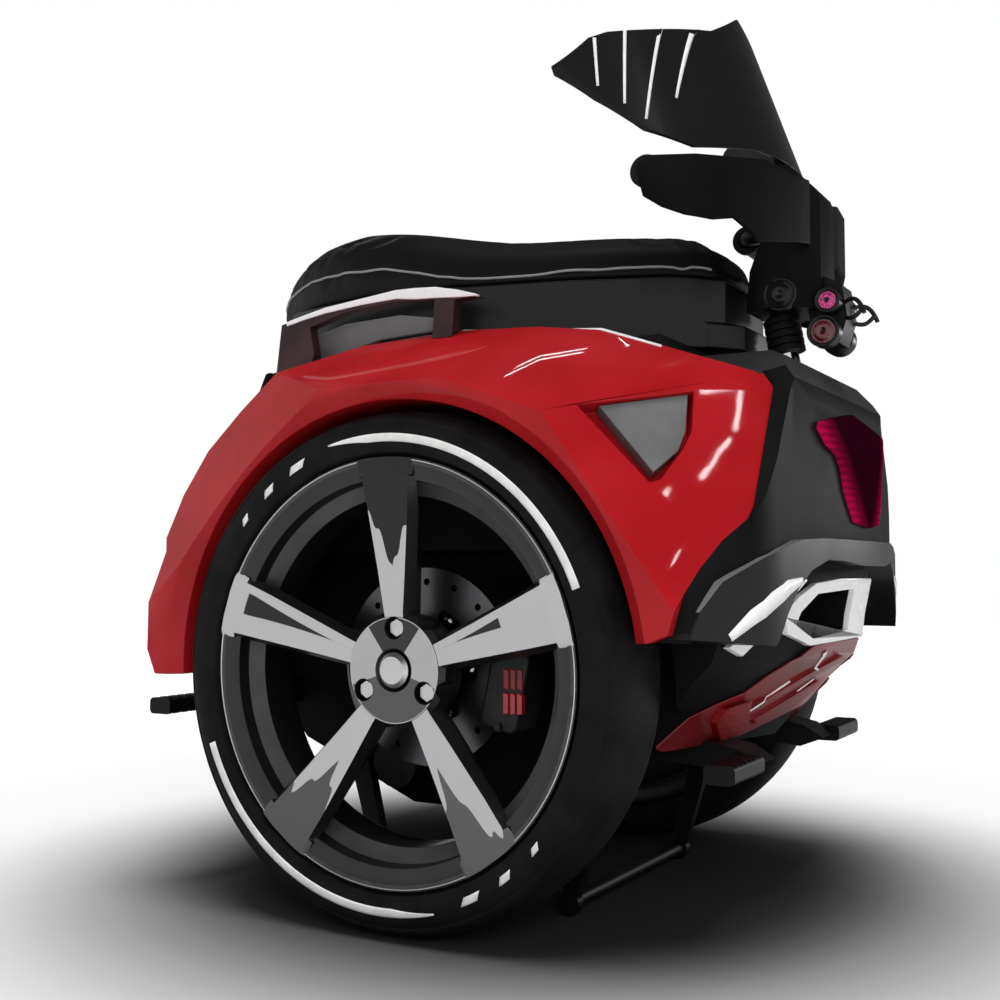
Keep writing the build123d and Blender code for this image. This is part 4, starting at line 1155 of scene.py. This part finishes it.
strength = add(tree, "MapRange", {"Value": path.outputs["Is Camera Ray"], "To Min": unseen, "To Max": 1.0})
ambient = tree.nodes["Background"]
ambient.inputs["Color"].default_value = srgb("#FFFFFF")
tree.links.new(strength.outputs["Result"], ambient.inputs["Strength"])
scene.view_settings.view_transform = "Standard"
print("world ready, view transform", scene.view_settings.view_transform)

# %% [markdown]
# The scooter is lit by a soft sun, which stands for a wide white ceiling, and by a panel beside the camera.
# Gloss sees neither: it sees one softbox in front, which draws the sheen on the nose and the band, and
# twelve narrow tubes. The photograph's thin white lines on the fender are reflections of such tubes. Each
# stands where the panel that it crosses mirrors it to the camera, and faces that panel.

# %% Lamps
STREAK_WIDTH = 0.014  # in metres
STREAK_RADIANCE = 70.0  # in watts per square metre and steradian


def panel(name, place_at, aim, size, power):
    """A rectangular area lamp at a place, aimed at a point, with its width and height in metres."""
    data = bpy.data.lights.new(name, "AREA")
    data.shape = "RECTANGLE"
    data.size, data.size_y = size
    data.energy = power
    lamp = bpy.data.objects.new(name, data)
    scene.collection.objects.link(lamp)
    lamp.location = place_at
    lamp.rotation_euler = (Vector(aim) - Vector(place_at)).to_track_quat("-Z", "Y").to_euler()
    return lamp


def streak(name, start, end, aim):
    """A short tube from start to end that only mirrors and gloss see, facing the panel that reflects it."""
    start, end, aim = Vector(start), Vector(end), Vector(aim)
    middle = (start + end) / 2
    length = (end - start).length
    data = bpy.data.lights.new(name, "AREA")
    data.shape = "RECTANGLE"
    data.size, data.size_y = STREAK_WIDTH, length
    data.energy = STREAK_RADIANCE * pi * STREAK_WIDTH * length
    tube = bpy.data.objects.new(name, data)
    scene.collection.objects.link(tube)
    back = (middle - aim).normalized()
    along = (end - start).normalized()
    across = along.cross(back).normalized()
    along = back.cross(across)
    tube.matrix_world = Matrix.Translation(middle) @ Matrix((across, along, back)).transposed().to_4x4()
    tube.visible_diffuse = False


sun_light = bpy.data.lights.new("ceiling", "SUN")
sun_light.energy = 2.3
sun_light.angle = radians(30)
sun = bpy.data.objects.new("ceiling", sun_light)
sun.rotation_euler = (radians(8), radians(-10), 0)
scene.collection.objects.link(sun)
sun.visible_glossy = False
panel("beside_camera", (-2.6, -1.8, 1.4), (0, 0, 0.5), (1.2, 1.2), 22).visible_glossy = False
panel("front_softbox", (2.3, -2.1, 0.9), (-0.1, -0.42, 0.4), (1.1, 0.5), 22).visible_diffuse = False
print("sun energy", round(sun_light.energy, 2))

# %% Streaks on the paint
PAINT_STREAKS = [  # start, end, and the place on the fender that mirrors it, in metres
    ((-1.401, -1.889, 2.796), (-1.501, -1.964, 2.654), (-0.350, -0.272, 0.48)),
    ((-1.335, -2.056, 2.698), (-1.386, -2.063, 2.653), (-0.325, -0.313, 0.466)),
    ((1.062, 0.037, 3.334), (0.973, -0.030, 3.321), (-0.228, -0.296, 0.615)),
    ((1.092, -0.200, 3.304), (1.010, -0.262, 3.300), (-0.230, -0.375, 0.59)),
    ((0.700, 0.660, 3.343), (0.863, 0.456, 3.349), (-0.290, -0.140, 0.63)),
    ((0.590, 0.620, 3.333), (0.776, 0.407, 3.338), (-0.330, -0.160, 0.595)),
    ((1.392, 1.935, 2.315), (1.462, 1.705, 2.382), (-0.303, 0.070, 0.634)),
    ((1.467, 1.694, 2.386), (1.492, 1.630, 2.404), (-0.299, 0.006, 0.636)),
    ((0.942, 0.283, 3.346), (0.855, 0.270, 3.338), (-0.265, -0.210, 0.62)),
    ((-1.085, -2.009, 2.917), (-0.979, -2.093, 2.914), (-0.243, -0.342, 0.58)),
    ((-0.984, -2.101, 2.904), (-1.065, -2.145, 2.810), (-0.239, -0.362, 0.56)),
    ((-1.095, -2.146, 2.788), (-1.243, -2.119, 2.708), (-0.276, -0.350, 0.507)),
]
for n, (start, end, aim) in enumerate(PAINT_STREAKS):
    streak(f"streak_{n}", start, end, aim)
